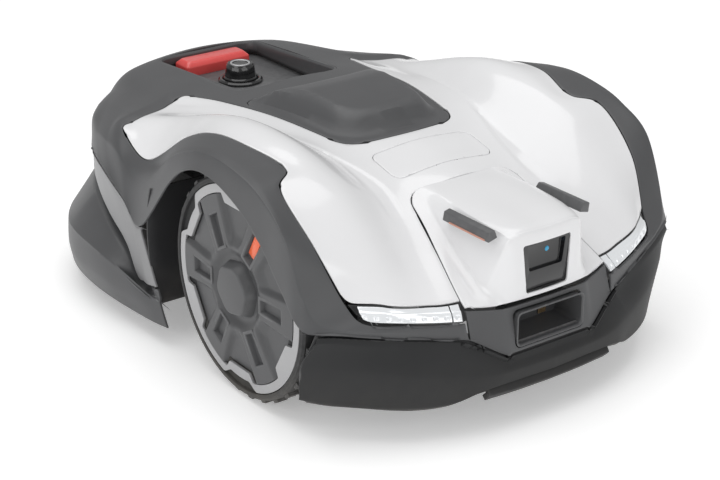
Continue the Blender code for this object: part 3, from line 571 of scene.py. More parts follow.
class Line:
    """A smooth line that is read by its share of length."""

    FINE = 24

    def __init__(self, points: Iterable[Sequence[float]], smooth: bool = True) -> None:
        """Measure a line through points.

        Args:
            points: what it runs through.
            smooth: False where the points already lie close together.
        """
        given = [Vector(point) for point in points]
        steps = (len(given) - 1) * self.FINE if smooth else len(given) - 1
        each = self.FINE if smooth else 1
        self.points = [smooth_point(given, step / each) for step in range(steps + 1)]
        self.reached = [0.0]
        for first, second in zip(self.points, self.points[1:]):
            self.reached.append(self.reached[-1] + (second - first).length)

    def at(self, share: float) -> Vector:
        """The point at a share of the line's length."""
        want = share * self.reached[-1]
        low, high = 0, len(self.reached) - 2
        while low < high:
            middle = (low + high + 1) // 2
            if self.reached[middle] <= want:
                low = middle
            else:
                high = middle - 1
        span = self.reached[low + 1] - self.reached[low]
        part = (want - self.reached[low]) / span if span else 0.0
        return self.points[low].lerp(self.points[low + 1], part)


@dataclass(frozen=True)
class Fold:
    """A rail that is a crease over some of its stations."""

    rail: int
    start: float
    end: float
    amount: float

    def strength(self, along: float) -> float:
        """How far the rail folds at a station."""
        fade = 0.7
        rise = smooth_step(self.start - fade, self.start, along)
        return self.amount * rise * (1.0 - smooth_step(self.end, self.end + fade, along))


class Surface:
    """A smooth sheet through rails that have matching stations."""

    def __init__(self, rails: Sequence[Sequence[Sequence[float]]], folds: Sequence[Fold] = (),
                 mirrored: bool = True) -> None:
        """Keep the rails.

        Args:
            rails: from the centre line, or the top, outwards.
            folds: the rails that are creases.
            mirrored: True if the first rail is on the centre line.
        """
        self.rails = [[Vector(point) for point in rail] for rail in rails]
        self.folds = folds
        self.mirrored = mirrored
        self._columns: dict[float, tuple[list[Vector], list[float]]] = {}

    def _column(self, along: float) -> tuple[list[Vector], list[float]]:
        """The rails' points at a station, and how far each rail folds there."""
        if along not in self._columns:
            points = [smooth_point(rail, along) for rail in self.rails]
            folds = [0.0] * len(self.rails)
            for fold in self.folds:
                folds[fold.rail] = max(folds[fold.rail], fold.strength(along))
            self._columns[along] = (points, folds)
        return self._columns[along]

    def at(self, along: float, across: float) -> Vector:
        """The point at a station and a rail, both of which may lie between whole numbers."""
        points, folds = self._column(round(along, 6))
        point = smooth_point(points, abs(across), folds, self.mirrored)
        if across < 0.0:
            point.x = -point.x
        return point


@dataclass(frozen=True)
class Span:
    """A stretch of a surface's coordinate and how many cells it is cut into."""

    start: float
    end: float
    cells: int

    def at(self, share: float) -> float:
        """The coordinate at a share of the span."""
        return self.start + (self.end - self.start) * share


def skin(place: Place, alongs: Span, acrosses: Span, keeps: Optional[Test] = None,
         away: Callable[[Vector], Vector] = outward) -> bmesh.types.BMesh:
    """An open sheet on a surface.

    Args:
        place: gives the point for a station and a rail.
        alongs: the stations.
        acrosses: the rails.
        keeps: says whether the cell at a station and a rail belongs to the sheet.
        away: gives the direction that its outer side faces.

    Returns:
        The sheet, with its faces pointing out.
    """
    bm = bmesh.new()
    bmesh.ops.create_grid(bm, x_segments=alongs.cells, y_segments=acrosses.cells, size=0.5)
    if keeps:
        spare = []
        for face in bm.faces:
            middle = face.calc_center_median()
            if not keeps(alongs.at(middle.x + 0.5), acrosses.at(middle.y + 0.5)):
                spare.append(face)
        bmesh.ops.delete(bm, geom=spare, context="FACES")
    for vert in bm.verts:
        vert.co = place(alongs.at(vert.co.x + 0.5), acrosses.at(vert.co.y + 0.5))
    bmesh.ops.remove_doubles(bm, verts=bm.verts, dist=0.00001)
    bm.normal_update()
    facing = sum(face.normal.dot(away(face.calc_center_median())) for face in bm.faces)
    if facing < 0.0:
        bmesh.ops.reverse_faces(bm, faces=bm.faces)
    return bm


def round_corner(bm: bmesh.types.BMesh, corner: Vector, reach: float, passes: int) -> None:
    """Round a corner of a sheet's rim.

    Args:
        bm: the sheet.
        corner: where the corner is.
        reach: how far from it the rim may move.
        passes: how often the rim is eased.
    """
    rim, inner = {}, []
    for vert in bm.verts:
        far = (vert.co - corner).length
        if vert.is_boundary and far < reach:
            rim[vert] = 1.0 - smooth_step(0.4 * reach, reach, far)
        elif far < 1.2 * reach:
            inner.append(vert)
    for _ in range(passes):
        eased = {}
        for vert, share in rim.items():
            sides = [edge.other_vert(vert).co for edge in vert.link_edges if edge.is_boundary]
            eased[vert] = vert.co.lerp(sum(sides, Vector()) / len(sides), 0.5 * share)
        for vert, place in eased.items():
            vert.co = place
        bmesh.ops.smooth_vert(bm, verts=inner, factor=0.5, use_axis_x=True, use_axis_y=True,
                              use_axis_z=True)


def draw_in(bm: bmesh.types.BMesh, distance: float) -> None:
    """Pull a sheet's rim in, so that a seam is left round it.

    Args:
        bm: the sheet.
        distance: half the seam.
    """
    moved = {}
    for vert in bm.verts:
        edges = [edge for edge in vert.link_edges if edge.is_boundary]
        if not edges:
            continue
        along = edges[0].other_vert(vert).co - edges[-1].other_vert(vert).co
        centres = [face.calc_center_median() for face in vert.link_faces]
        inward = sum(centres, Vector()) / len(centres) - vert.co
        if len(vert.link_faces) == 2 and along.length > 0.0:
            inward -= inward.project(along)
        moved[vert] = vert.co + inward.normalized() * distance
    for vert, place in moved.items():
        vert.co = place


def chamfer(bm: bmesh.types.BMesh, edges: Iterable[bmesh.types.BMEdge], width: float,
            segments: int) -> None:
    """Bevel some edges of a mesh.

    Args:
        bm: the mesh.
        edges: the edges.
        width: how far the bevel reaches.
        segments: how many faces round each edge.
    """
    bmesh.ops.bevel(bm, geom=list(edges), offset=width, segments=segments, profile=0.5,
                    affect="EDGES", material=-1)


def upright_edges(bm: bmesh.types.BMesh, rise: float) -> list[bmesh.types.BMEdge]:
    """The edges that climb by more than a height."""
    return [edge for edge in bm.edges if abs((edge.verts[0].co - edge.verts[1].co).z) > rise]


def turn(bm: bmesh.types.BMesh, angle: float, axis: str,
         verts: Optional[Sequence[bmesh.types.BMVert]] = None) -> None:
    """Turn a mesh, or some of its vertices, about an axis through the origin.

    Args:
        bm: the mesh.
        angle: how far.
        axis: the axis's letter.
        verts: what turns, or None for everything.
    """
    bmesh.ops.rotate(bm, cent=(0.0, 0.0, 0.0), matrix=Matrix.Rotation(angle, 3, axis),
                     verts=verts or bm.verts)


def box(lo: Sequence[float], hi: Sequence[float]) -> bmesh.types.BMesh:
    """A box between two corners.

    Args:
        lo: its lowest corner.
        hi: its highest corner.

    Returns:
        The box.
    """
    low, high = Vector(lo), Vector(hi)
    bm = bmesh.new()
    bmesh.ops.create_cube(bm, size=1.0)
    bmesh.ops.scale(bm, vec=high - low, verts=bm.verts)
    bmesh.ops.translate(bm, vec=(low + high) / 2, verts=bm.verts)
    return bm


def turned(profile: Sequence[tuple[float, float]], steps: int, closed: bool = True) -> bmesh.types.BMesh:
    """A turned solid about Z.

    Args:
        profile: (radius, height) points.
        steps: how many faces round.
        closed: True if the profile is a loop, False if both its ends are on the axis.

    Returns:
        The solid, with its faces pointing out.
    """
    bm = bmesh.new()
    verts = [bm.verts.new((radius, 0.0, height)) for radius, height in profile]
    edges = [bm.edges.new(pair) for pair in zip(verts, verts[1:])]
    if closed:
        edges.append(bm.edges.new((verts[-1], verts[0])))
    bmesh.ops.spin(bm, geom=verts + edges, cent=(0.0, 0.0, 0.0), axis=(0.0, 0.0, 1.0),
                   angle=2 * math.pi, steps=steps, use_merge=True, use_duplicate=False)
    bmesh.ops.remove_doubles(bm, verts=bm.verts, dist=0.000005)
    bmesh.ops.recalc_face_normals(bm, faces=bm.faces)
    return bm


def rounded_rectangle(half_x: float, half_y: float, corner: float, steps: int = 6) -> list[Vector]:
    """Points round a rectangle with round corners, about the origin.

    Args:
        half_x: half its length along X.
        half_y: half its length along Y.
        corner: radius of its corners.
        steps: cells round each corner.

    Returns:
        The points.
    """
    points = []
    for quarter, (sx, sy) in enumerate(((1, 1), (-1, 1), (-1, -1), (1, -1))):
        for step in range(steps + 1):
            angle = math.pi / 2 * (quarter + step / steps)
            points.append(Vector((sx * (half_x - corner) + corner * math.cos(angle),
                                  sy * (half_y - corner) + corner * math.sin(angle), 0.0)))
    return points


def sleeve(rings: Sequence[Sequence[Vector]], floor: bool = False) -> bmesh.types.BMesh:
    """A sheet through closed rings that have matching points.

    Args:
        rings: from the first edge to the last.
        floor: True to close the last ring.

    Returns:
        The sheet.
    """
    bm = bmesh.new()
    loops = []
    for ring in rings:
        verts = [bm.verts.new(point) for point in ring]
        loops.append([bm.edges.new((verts[index - 1], verts[index])) for index in range(len(verts))])
    for first, second in zip(loops, loops[1:]):
        bmesh.ops.bridge_loops(bm, edges=first + second)
    if floor:
        bmesh.ops.contextual_create(bm, geom=loops[-1])
    bmesh.ops.recalc_face_normals(bm, faces=bm.faces)
    return bm


def plug(rings: Sequence[Sequence[Vector]]) -> bmesh.types.BMesh:
    """A closed solid through rings that have matching points.

    Args:
        rings: from the first end to the last.

    Returns:
        The solid.
    """
    bm = sleeve(rings, floor=True)
    bmesh.ops.contextual_create(bm, geom=[edge for edge in bm.edges if edge.is_boundary])
    return bm


def join(first: bmesh.types.BMesh, *others: bmesh.types.BMesh) -> bmesh.types.BMesh:
    """Put meshes into one, as separate shells.

    Args:
        first: the mesh that takes the others.
        others: meshes that are added and freed.

    Returns:
        The first mesh.
    """
    for other in others:
        shared = bpy.data.meshes.new("shared")
        other.to_mesh(shared)
        other.free()
        first.from_mesh(shared)
        bpy.data.meshes.remove(shared)
    return first


# --- Cover ------------------------------------------------------------------------------

# Rails of the cover, tail to nose. Stations: 0 rear hem, 1 tail shoulder, 4 rear end of
# the side panel, 5 foot of the wheel arch, 6 rear of the hood, 8 front of the hood,
# 10 rear of the nose, 12 headlight line
CENTRE = [(0, 0.3425, 0.150), (0, 0.3395, 0.193), (0, 0.320, 0.2170), (0, 0.240, 0.2265),
          (0, 0.160, 0.231), (0, 0.110, 0.234), (0, 0.070, 0.236), (0, 0.000, 0.237),
          (0, -0.1005, 0.230), (0, -0.145, 0.221), (0, -0.190, 0.210), (0, -0.250, 0.180),
          (0, -0.322, 0.135)]
SPINE = [(0.100, 0.336, 0.153), (0.098, 0.3305, 0.191), (0.094, 0.306, 0.2125), (0.102, 0.227, 0.2205),
         (0.1125, 0.1655, 0.2218), (0.1025, 0.107, 0.2277), (0.0925, 0.026, 0.2336),
         (0.083, -0.035, 0.232), (0.0735, -0.0905, 0.2269), (0.066, -0.140, 0.218),
         (0.0677, -0.1813, 0.2048), (0.080, -0.250, 0.167), (0.0923, -0.3087, 0.132)]
VALLEY = [(0.136, 0.321, 0.156), (0.133, 0.308, 0.187), (0.135, 0.270, 0.2035), (0.145, 0.205, 0.213),
          (0.150, 0.155, 0.2190), (0.138, 0.100, 0.223), (0.127, 0.022, 0.232), (0.118, -0.035, 0.234),
          (0.108, -0.0905, 0.230), (0.103, -0.140, 0.2195), (0.105, -0.190, 0.2035),
          (0.115, -0.245, 0.170), (0.128, -0.300, 0.134)]
HAUNCH = [(0.162, 0.292, 0.159), (0.161, 0.283, 0.186), (0.167, 0.245, 0.1985), (0.176, 0.195, 0.2080),
          (0.182, 0.150, 0.2165), (0.172, 0.092, 0.226), (0.165, 0.020, 0.250), (0.160, -0.035, 0.2606),
          (0.155, -0.0905, 0.2588), (0.152, -0.140, 0.248), (0.152, -0.190, 0.226),
          (0.155, -0.240, 0.187), (0.163, -0.288, 0.1375)]
FENDER_EDGE = [(0.182, 0.262, 0.162), (0.184, 0.254, 0.185), (0.190, 0.218, 0.195), (0.199, 0.180, 0.202),
               (0.206, 0.148, 0.207), (0.214, 0.080, 0.192), (0.200, 0.018, 0.233),
               (0.199, -0.035, 0.253), (0.197, -0.0905, 0.257), (0.186, -0.1455, 0.2465),
               (0.210, -0.172, 0.237), (0.208, -0.224, 0.196), (0.196, -0.2575, 0.1458)]
SHOULDER = [(0.202, 0.227, 0.164), (0.203, 0.219, 0.180), (0.209, 0.196, 0.187), (0.217, 0.164, 0.1905),
            (0.224, 0.125, 0.190), (0.228, 0.072, 0.170), (0.232, 0.000, 0.222), (0.233, -0.045, 0.244),
            (0.2340, -0.0905, 0.252), (0.2345, -0.1385, 0.248), (0.2355, -0.178, 0.236),
            (0.2375, -0.2185, 0.208), (0.232, -0.2515, 0.139)]
ARCH = [(0.215, 0.200, 0.165), (0.220, 0.186, 0.166), (0.227, 0.163, 0.1655), (0.234, 0.130, 0.160),
        (0.236, 0.095, 0.145), (0.238, 0.0595, 0.127), (0.2395, -0.010, 0.200), (0.2405, -0.050, 0.2265),
        (0.2405, -0.0915, 0.231), (0.2405, -0.1385, 0.217), (0.2405, -0.1755, 0.194),
        (0.2405, -0.2135, 0.155), (0.2405, -0.2485, 0.126)]

# The fender goes on round the nose as a band between the headlight and the bumper
BAND_TOP = [(0.185, -0.2775, 0.1290), (0.145, -0.2970, 0.1235), (0.0951, -0.3163, 0.1188)]
BAND_MID = [(0.200, -0.2755, 0.1250), (0.150, -0.2960, 0.1175), (0.0945, -0.3183, 0.1105)]
BAND_FOOT = [(0.213, -0.2690, 0.1215), (0.155, -0.2940, 0.1110), (0.0935, -0.3205, 0.1025)]

# Nose: stations from its rear seam to its foot above the charging recess
NOSE_CENTRE = [(0, -0.190, 0.210), (0, -0.220, 0.209), (0, -0.255, 0.2065), (0, -0.292, 0.2035),
               (0, -0.316, 0.1995), (0, -0.3235, 0.190), (0, -0.3265, 0.130)]
NOSE_TOP = [(0.040, -0.1865, 0.2085), (0.047, -0.220, 0.2065), (0.0495, -0.255, 0.2035),
            (0.049, -0.290, 0.2005), (0.046, -0.3135, 0.1965), (0.0440, -0.3205, 0.187),
            (0.0355, -0.3245, 0.1295)]
NOSE_FOOT = [(0.057, -0.1835, 0.2065), (0.061, -0.220, 0.190), (0.0635, -0.253, 0.172),
             (0.0645, -0.283, 0.153), (0.0645, -0.300, 0.1435), (0.0630, -0.3075, 0.139),
             (0.0600, -0.3200, 0.129)]
NOSE_SEAM = [(0.0672, -0.182, 0.2045), (0.0735, -0.2195, 0.1855), (0.0800, -0.2505, 0.1665),
             (0.0865, -0.280, 0.149), (0.0900, -0.297, 0.1390), (0.0910, -0.303, 0.1355),
             (0.0915, -0.3095, 0.1325)]

SPINE_RAIL, FENDER_RAIL, ARCH_RAIL = 1, 4, 6
HEM, PANEL_REAR, ARCH_FOOT, HOOD_REAR, HOOD_FRONT = 0, 4, 5, 6, 8
NOSE_REAR, LIGHT_LINE, BAND_END = 10, 12, 15

# Rounded corners of the panels: station, rail, reach and passes
HOOD_CORNER = (HOOD_FRONT, SPINE_RAIL, 0.020, 22)
LIGHT_CORNER = (LIGHT_LINE, FENDER_RAIL, 0.012, 8)
SEAM_CORNERS = [(PANEL_REAR, FENDER_RAIL, 0.014, 9), (PANEL_REAR, SPINE_RAIL, 0.012, 6),
                (9, FENDER_RAIL, 0.007, 3), (10, FENDER_RAIL, 0.007, 3)]


@dataclass
class Cover:
    """The floating cover: deck, hood, white panel, fenders and their seams."""

    shop: Workshop
    cells: int = 12               # cells between neighbouring stations
    rows: int = 14                # cells between neighbouring rails
    sink: float = 0.0045          # how deep the white panel's rear end lies under the deck
    hump: float = 0.0215          # height of the hood's hump over its rim
    rim: float = 0.013            # flat rim round the hump
    proud: float = 0.0010         # how far the fender stands out of the white panel
    hood_level: float = 0.2565    # height of the hump's highest point
    hood_crest: float = 0.012     # where along the hood that point is
    light_rise: float = 0.125     # how far the white panel ends above the headlight line, in stations
    nose_corner: float = 0.021
    nose_bow: float = 0.0085      # how far the nose's rear seam bows back in its middle
    well_front: float = 0.112
    well_rear: float = 0.309
    well_half: float = 0.070
    well_corner: float = 0.020
    plate_half: float = 0.0645
    plate_front: float = -0.1655
    plate_rear: float = -0.1170

    def __post_init__(self) -> None:
        """Lay out the surfaces."""
        self.body = Surface(
            [CENTRE, SPINE, VALLEY, HAUNCH, FENDER_EDGE, SHOULDER, ARCH],
            [Fold(2, 6.0, 9.6, 0.9), Fold(3, 0.0, 3.6, 0.6), Fold(5, 0.0, 4.0, 0.5)])
        self.flank = Surface(
            [FENDER_EDGE + BAND_TOP, SHOULDER + BAND_MID, ARCH + BAND_FOOT],
            [Fold(1, 5.6, 15.0, 0.85)], mirrored=False)

    # Surfaces

    @staticmethod
    def seam_bow(along: float, across: float) -> float:
        """How far the hood's rear seam bows back from its station, in stations.

        Args:
            along: the station.
            across: the rail, negative on the right.

        Returns:
            The distance, in stations.
        """
        out = min(abs(across), 1.0)
        round_end = math.sqrt(1.0 - out ** 4)
        plain = 1.0 - 2.455 * out ** 2 + 1.455 * out ** 3
        reach = 1.3
        return (plain - round_end) * max(0.0, 1.0 - abs(along - HOOD_REAR) / reach)

    def base(self, along: float, across: float) -> Vector:
        """The plain cover surface, with the hood's rear seam bowed."""
        return self.body.at(along + self.seam_bow(along, across), across)

    def white(self, along: float, across: float) -> Vector:
        """The white panel's surface: sunk at its rear end, with a long shallow facet in front.

        Args:
            along: the station.
            across: the rail, negative on the right.

        Returns:
            The point.
        """
        out = abs(across)
        short = self.light_rise * max(0.0, along - LIGHT_LINE + 1.0) * (1.0 - smooth_step(3.1, 3.95, out))
        point = self.base(along - short, across)
        rear = 1.0 - smooth_step(PANEL_REAR + 0.05, ARCH_FOOT + 0.4, along)
        inner = self.sunk_share(across)
        edge = 2.0 - 0.62 * smooth_step(6.9, 10.2, along)
        facet = smooth_step(edge - 0.07, edge + 0.05, out) * (1.0 - smooth_step(1.85, 2.0, out))
        facet *= smooth_step(7.0, 7.8, along) * (1.0 - smooth_step(10.0, 10.5, along))
        return point - outward(point) * (self.sink * rear * inner + 0.0016 * facet)

    def hood(self, along: float, across: float) -> Vector:
        """The hood's surface: a flat rim round a steep hump with a level top.

        Args:
            along: the station.
            across: the rail, negative on the right.

        Returns:
            The point.
        """
        point = self.base(along, across)
        side = self.base(along, 1.0)
        front = self.body.at(HOOD_FRONT, across)
        rear = self.base(HOOD_REAR, across)
        to_side = abs(side.x) - abs(point.x)
        to_front = point.y - front.y
        to_rear = rear.y - point.y
        foot = soft_min(to_side - self.rim, to_front - self.rim * 1.35, 0.022)
        climb = foot * 1.35
        behind = point.y - self.hood_crest
        level = self.hood_level - 1.1 * behind ** 2 - 0.16 * max(0.0, behind)
        top = min(self.hump, max(level - point.z, 0.0))
        height = soft_min(climb, top, 0.007)
        height = soft_min(height, (to_rear - 0.004) * 0.75, 0.006)
        point.z += -soft_min(-height, 0.0, 0.006)
        return point

    def fender(self, along: float, across: float) -> Vector:
        """The fender's surface, across from 0 at the white panel to 2 at the arch's lip.

        Args:
            along: the station.
            across: the rail, negative on the right.

        Returns:
            The point, on the left side.
        """
        point = self.flank.at(along, across)
        rise = smooth_step(0.0, 0.13, across) * (1.0 - smooth_step(0.75, 1.0, across))
        rise *= smooth_step(5.4, 6.2, along) * (1.0 - smooth_step(11.0, 12.0, along))
        return point + outward(point) * self.proud * rise

    # Panels

    def _grid(self, place: Place, alongs: tuple[int, int], acrosses: tuple[int, int],
              keeps: Test) -> bmesh.types.BMesh:
        """A sheet of the cover between whole stations and rails.

        Args:
            place: gives the point for a station and a rail.
            alongs: first and last station.
            acrosses: first and last rail.
            keeps: says which cells belong to the sheet.

        Returns:
            The sheet.
        """
        return skin(place, Span(*alongs, (alongs[1] - alongs[0]) * self.cells),
                    Span(*acrosses, (acrosses[1] - acrosses[0]) * self.rows), keeps)

    def _corners(self, bm: bmesh.types.BMesh, corners: Iterable[tuple[float, float, float, int]]) -> None:
        """Round the sheet's corners on both sides: station, rail, reach and passes of each."""
        for along, across, reach, passes in corners:
            for side in Side:
                round_corner(bm, self.base(along, side.value * across), reach, passes)

    def _prism(self, outline: Sequence[Vector], low: float, high: float) -> bpy.types.Object:
        """An upright cutter with an outline.

        Args:
            outline: its outline in plan.
            low: the height of its floor.
            high: the height of its top.

        Returns:
            The cutting object.
        """
        return self.shop.cutter(plug([[point + UP * level for point in outline] for level in (low, high)]))

    def _well_outline(self, grown: float) -> list[Vector]:
        """The control well's outline, grown by a distance."""
        middle = Vector((0.0, (self.well_front + self.well_rear) / 2, 0.0))
        half = (self.well_rear - self.well_front) / 2
        return [point + middle for point in rounded_rectangle(
            self.well_half + grown, half + grown, self.well_corner + grown)]

    def _plate_outline(self, grown: float) -> list[Vector]:
        """The name plate's outline, grown by a distance."""
        middle = Vector((0.0, (self.plate_front + self.plate_rear) / 2, 0.0))
        half = (self.plate_rear - self.plate_front) / 2
        return [point + middle for point in rounded_rectangle(
            self.plate_half + grown, half + grown, 0.011 + grown)]

    def around(self, inner: Sequence[Vector], outer: Sequence[Vector]) -> bpy.types.Object:
        """A cutter that leaves only what lies inside an outline.

        Args:
            inner: the outline of what is left.
            outer: an outline that is clear of the piece.

        Returns:
            The cutting object.
        """
        ring = self._prism(outer, 0.06, 0.27)
        keep = self._prism(inner, 0.05, 0.28)
        outside = ring.modifiers.new("keep", "BOOLEAN")
        outside.operation = "DIFFERENCE"
        outside.object = keep
        self.shop.settle(ring)
        bpy.data.objects.remove(keep)
        return ring

    def nose_outline(self, grown: float) -> list[Vector]:
        """The nose's seam in plan, with round rear corners and grown by a distance.

        Args:
            grown: how far the outline is moved outwards.

        Returns:
            Its points, once round.
        """
        side = [Vector((x, y, 0.0)) for x, y, _ in NOSE_SEAM]
        corner, radius = side[0], self.nose_corner
        start = corner.lerp(side[1], radius / (side[1] - corner).length)
        rear = [Vector((corner.x * share, corner.y - self.nose_bow * (1.0 - share * share), 0.0))
                for share in (0.66, 0.5, 0.34, 0.17, 0.0)]
        end = rear[0]
        half = [Vector((side[-1].x + 0.004, -0.36, 0.0))] + side[:0:-1]
        for step in range(13):
            share = step / 12
            half.append(start.lerp(corner, share).lerp(corner.lerp(end, share), share))
        half += rear[1:]
        centre = Vector((0.0, -0.25, 0.0))
        half = [point + (point - centre).normalized() * grown for point in half]
        return half + [Vector((-point.x, point.y, 0.0)) for point in half[-2::-1]]

    def deck_surface(self, along: float, across: float) -> Vector:
        """The deck's surface, which slopes down to the sunk end of the white panel.

        Args:
            along: the station.
            across: the rail, negative on the right.

        Returns:
            The point.
        """
        point = self.base(along, across)
        slope = min(max((along - PANEL_REAR + 0.30) / 0.30, 0.0), 1.0)
        return point - outward(point) * (self.sink * slope * self.sunk_share(across))

    @staticmethod
    def sunk_share(across: float) -> float:
        """How far the white panel's rear end is sunk at a rail, as a share."""
        out = abs(across)
        return smooth_step(1.0, 1.35, out) * (1.0 - smooth_step(3.45, 3.95, out))

    def shell(self) -> None:
        """The dark shell: rear deck, both wheel arches and the bands under the headlights."""
        def keeps(along: float, across: float) -> bool:
            """True where the deck is: behind the hood, the white panel and the arches."""
            out = abs(across)
            if out < SPINE_RAIL:
                return along < HOOD_REAR
            return along < (PANEL_REAR if out < FENDER_RAIL else ARCH_FOOT)

        bm = self._grid(self.deck_surface, (HEM, HOOD_REAR), (-ARCH_RAIL, ARCH_RAIL), keeps)
        bm = join(bm, *(self._fender(side) for side in Side))
        bmesh.ops.remove_doubles(bm, verts=bm.verts, dist=0.00002)
        self._corners(bm, SEAM_CORNERS)
        draw_in(bm, SEAM / 2)
        hole = self._prism(self._well_outline(0.0), 0.17, 0.27)
        self.shop.add("deck_and_fender_skin", bm, Look.GRAPHITE, "cover",
                      ["deck_shell", "fender_left", "fender_right"], SHELL, EDGE, [hole])
        self._well()

    def _fender(self, side: Side) -> bmesh.types.BMesh:
        """One wheel arch with its band, as an open sheet."""
        def place(along: float, across: float) -> Vector:
            """The fender's surface, which grows out of the deck's at the foot of the arch."""
            point = self.fender(along, across)
            blend = smooth_step(ARCH_FOOT, ARCH_FOOT + 1.5, along)
            point = self.body.at(min(along, LIGHT_LINE), across + FENDER_RAIL).lerp(point, blend)
            point.x *= side.value
            return point

        return skin(place, Span(ARCH_FOOT, BAND_END, 10 * self.cells), Span(0, 2, 2 * self.rows))

    def _well(self) -> None:
        """Walls of the control well, with a chamfered rim that follows the deck."""
        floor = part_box("control_floor")[1].z
        deck = skin(self.base, Span(0, HOOD_REAR, 60), Span(-2, 2, 40))
        tree = BVHTree.FromBMesh(deck)
        deck.free()

        def on_deck(outline: Sequence[Vector], drop: float) -> list[Vector]:
            """An outline laid on the deck and lowered."""
            ring = []
            for point in outline:
                hit = tree.ray_cast(point + UP, -UP)[0]
                ring.append(hit - UP * drop)
            return ring

        inner = self._well_outline(-0.0045)
        rings = [on_deck(self._well_outline(-0.0002), 0.0003), on_deck(self._well_outline(-0.0022), 0.0003),
                 on_deck(self._well_outline(-0.0038), 0.0030), [p + UP * (floor + 0.008) for p in inner],
                 [p + UP * (floor + 0.0005) for p in self._well_outline(0.001)]]
        bm = sleeve(rings)
        bm.normal_update()
        middle = Vector((0.0, (self.well_front + self.well_rear) / 2, floor))
        if sum(face.normal.dot(middle - face.calc_center_median()) for face in bm.faces) < 0.0:
            bmesh.ops.reverse_faces(bm, faces=bm.faces)
        self.shop.add("control_well_wall", bm, Look.GRAPHITE, "cover", wall=0.0016, edge=0.0004)

    def hood_panel(self) -> None:
        """The hood with its hump."""
        bm = self._grid(self.hood, (HOOD_REAR, HOOD_FRONT), (-1, 1), lambda along, across: True)
        self._corners(bm, [HOOD_CORNER])
        draw_in(bm, SEAM / 2)
        self.shop.add("hood_cover_skin", bm, Look.GRAPHITE, "cover", ["hood_cover"], SHELL, EDGE)

    def top(self) -> None:
        """The white panel: both flanks, joined in front of the hood, and its name plate."""
        def keeps(along: float, across: float) -> bool:
            """True outside the hood and the nose."""
            if abs(across) < SPINE_RAIL:
                return HOOD_FRONT < along < NOSE_REAR + 0.4
            return True

        bm = self._grid(self.white, (PANEL_REAR, LIGHT_LINE), (-FENDER_RAIL, FENDER_RAIL), keeps)
        self._corners(bm, [HOOD_CORNER, LIGHT_CORNER] + SEAM_CORNERS)
        draw_in(bm, SEAM / 2)
        plate = skin(self.white, Span(HOOD_FRONT, NOSE_REAR, 2 * self.cells), Span(-1, 1, 2 * self.rows))
        hole = self._prism(self._plate_outline(0.0), 0.17, 0.27)
        nose = self._prism(self.nose_outline(SEAM / 2), 0.09, 0.27)
        self.shop.add("top_cover_skin", bm, Look.WHITE, "cover", ["top_cover"], SHELL, EDGE, [hole, nose])
        self.shop.add("name_plate", plate, Look.WHITE, "cover", wall=SHELL, edge=EDGE * 0.8,
                      holes=[self.around(self._plate_outline(-0.0006), self._plate_outline(0.03))])

    def build(self) -> None:
        """Make every panel of the cover."""
        self.shell()
        self.hood_panel()
        self.top()


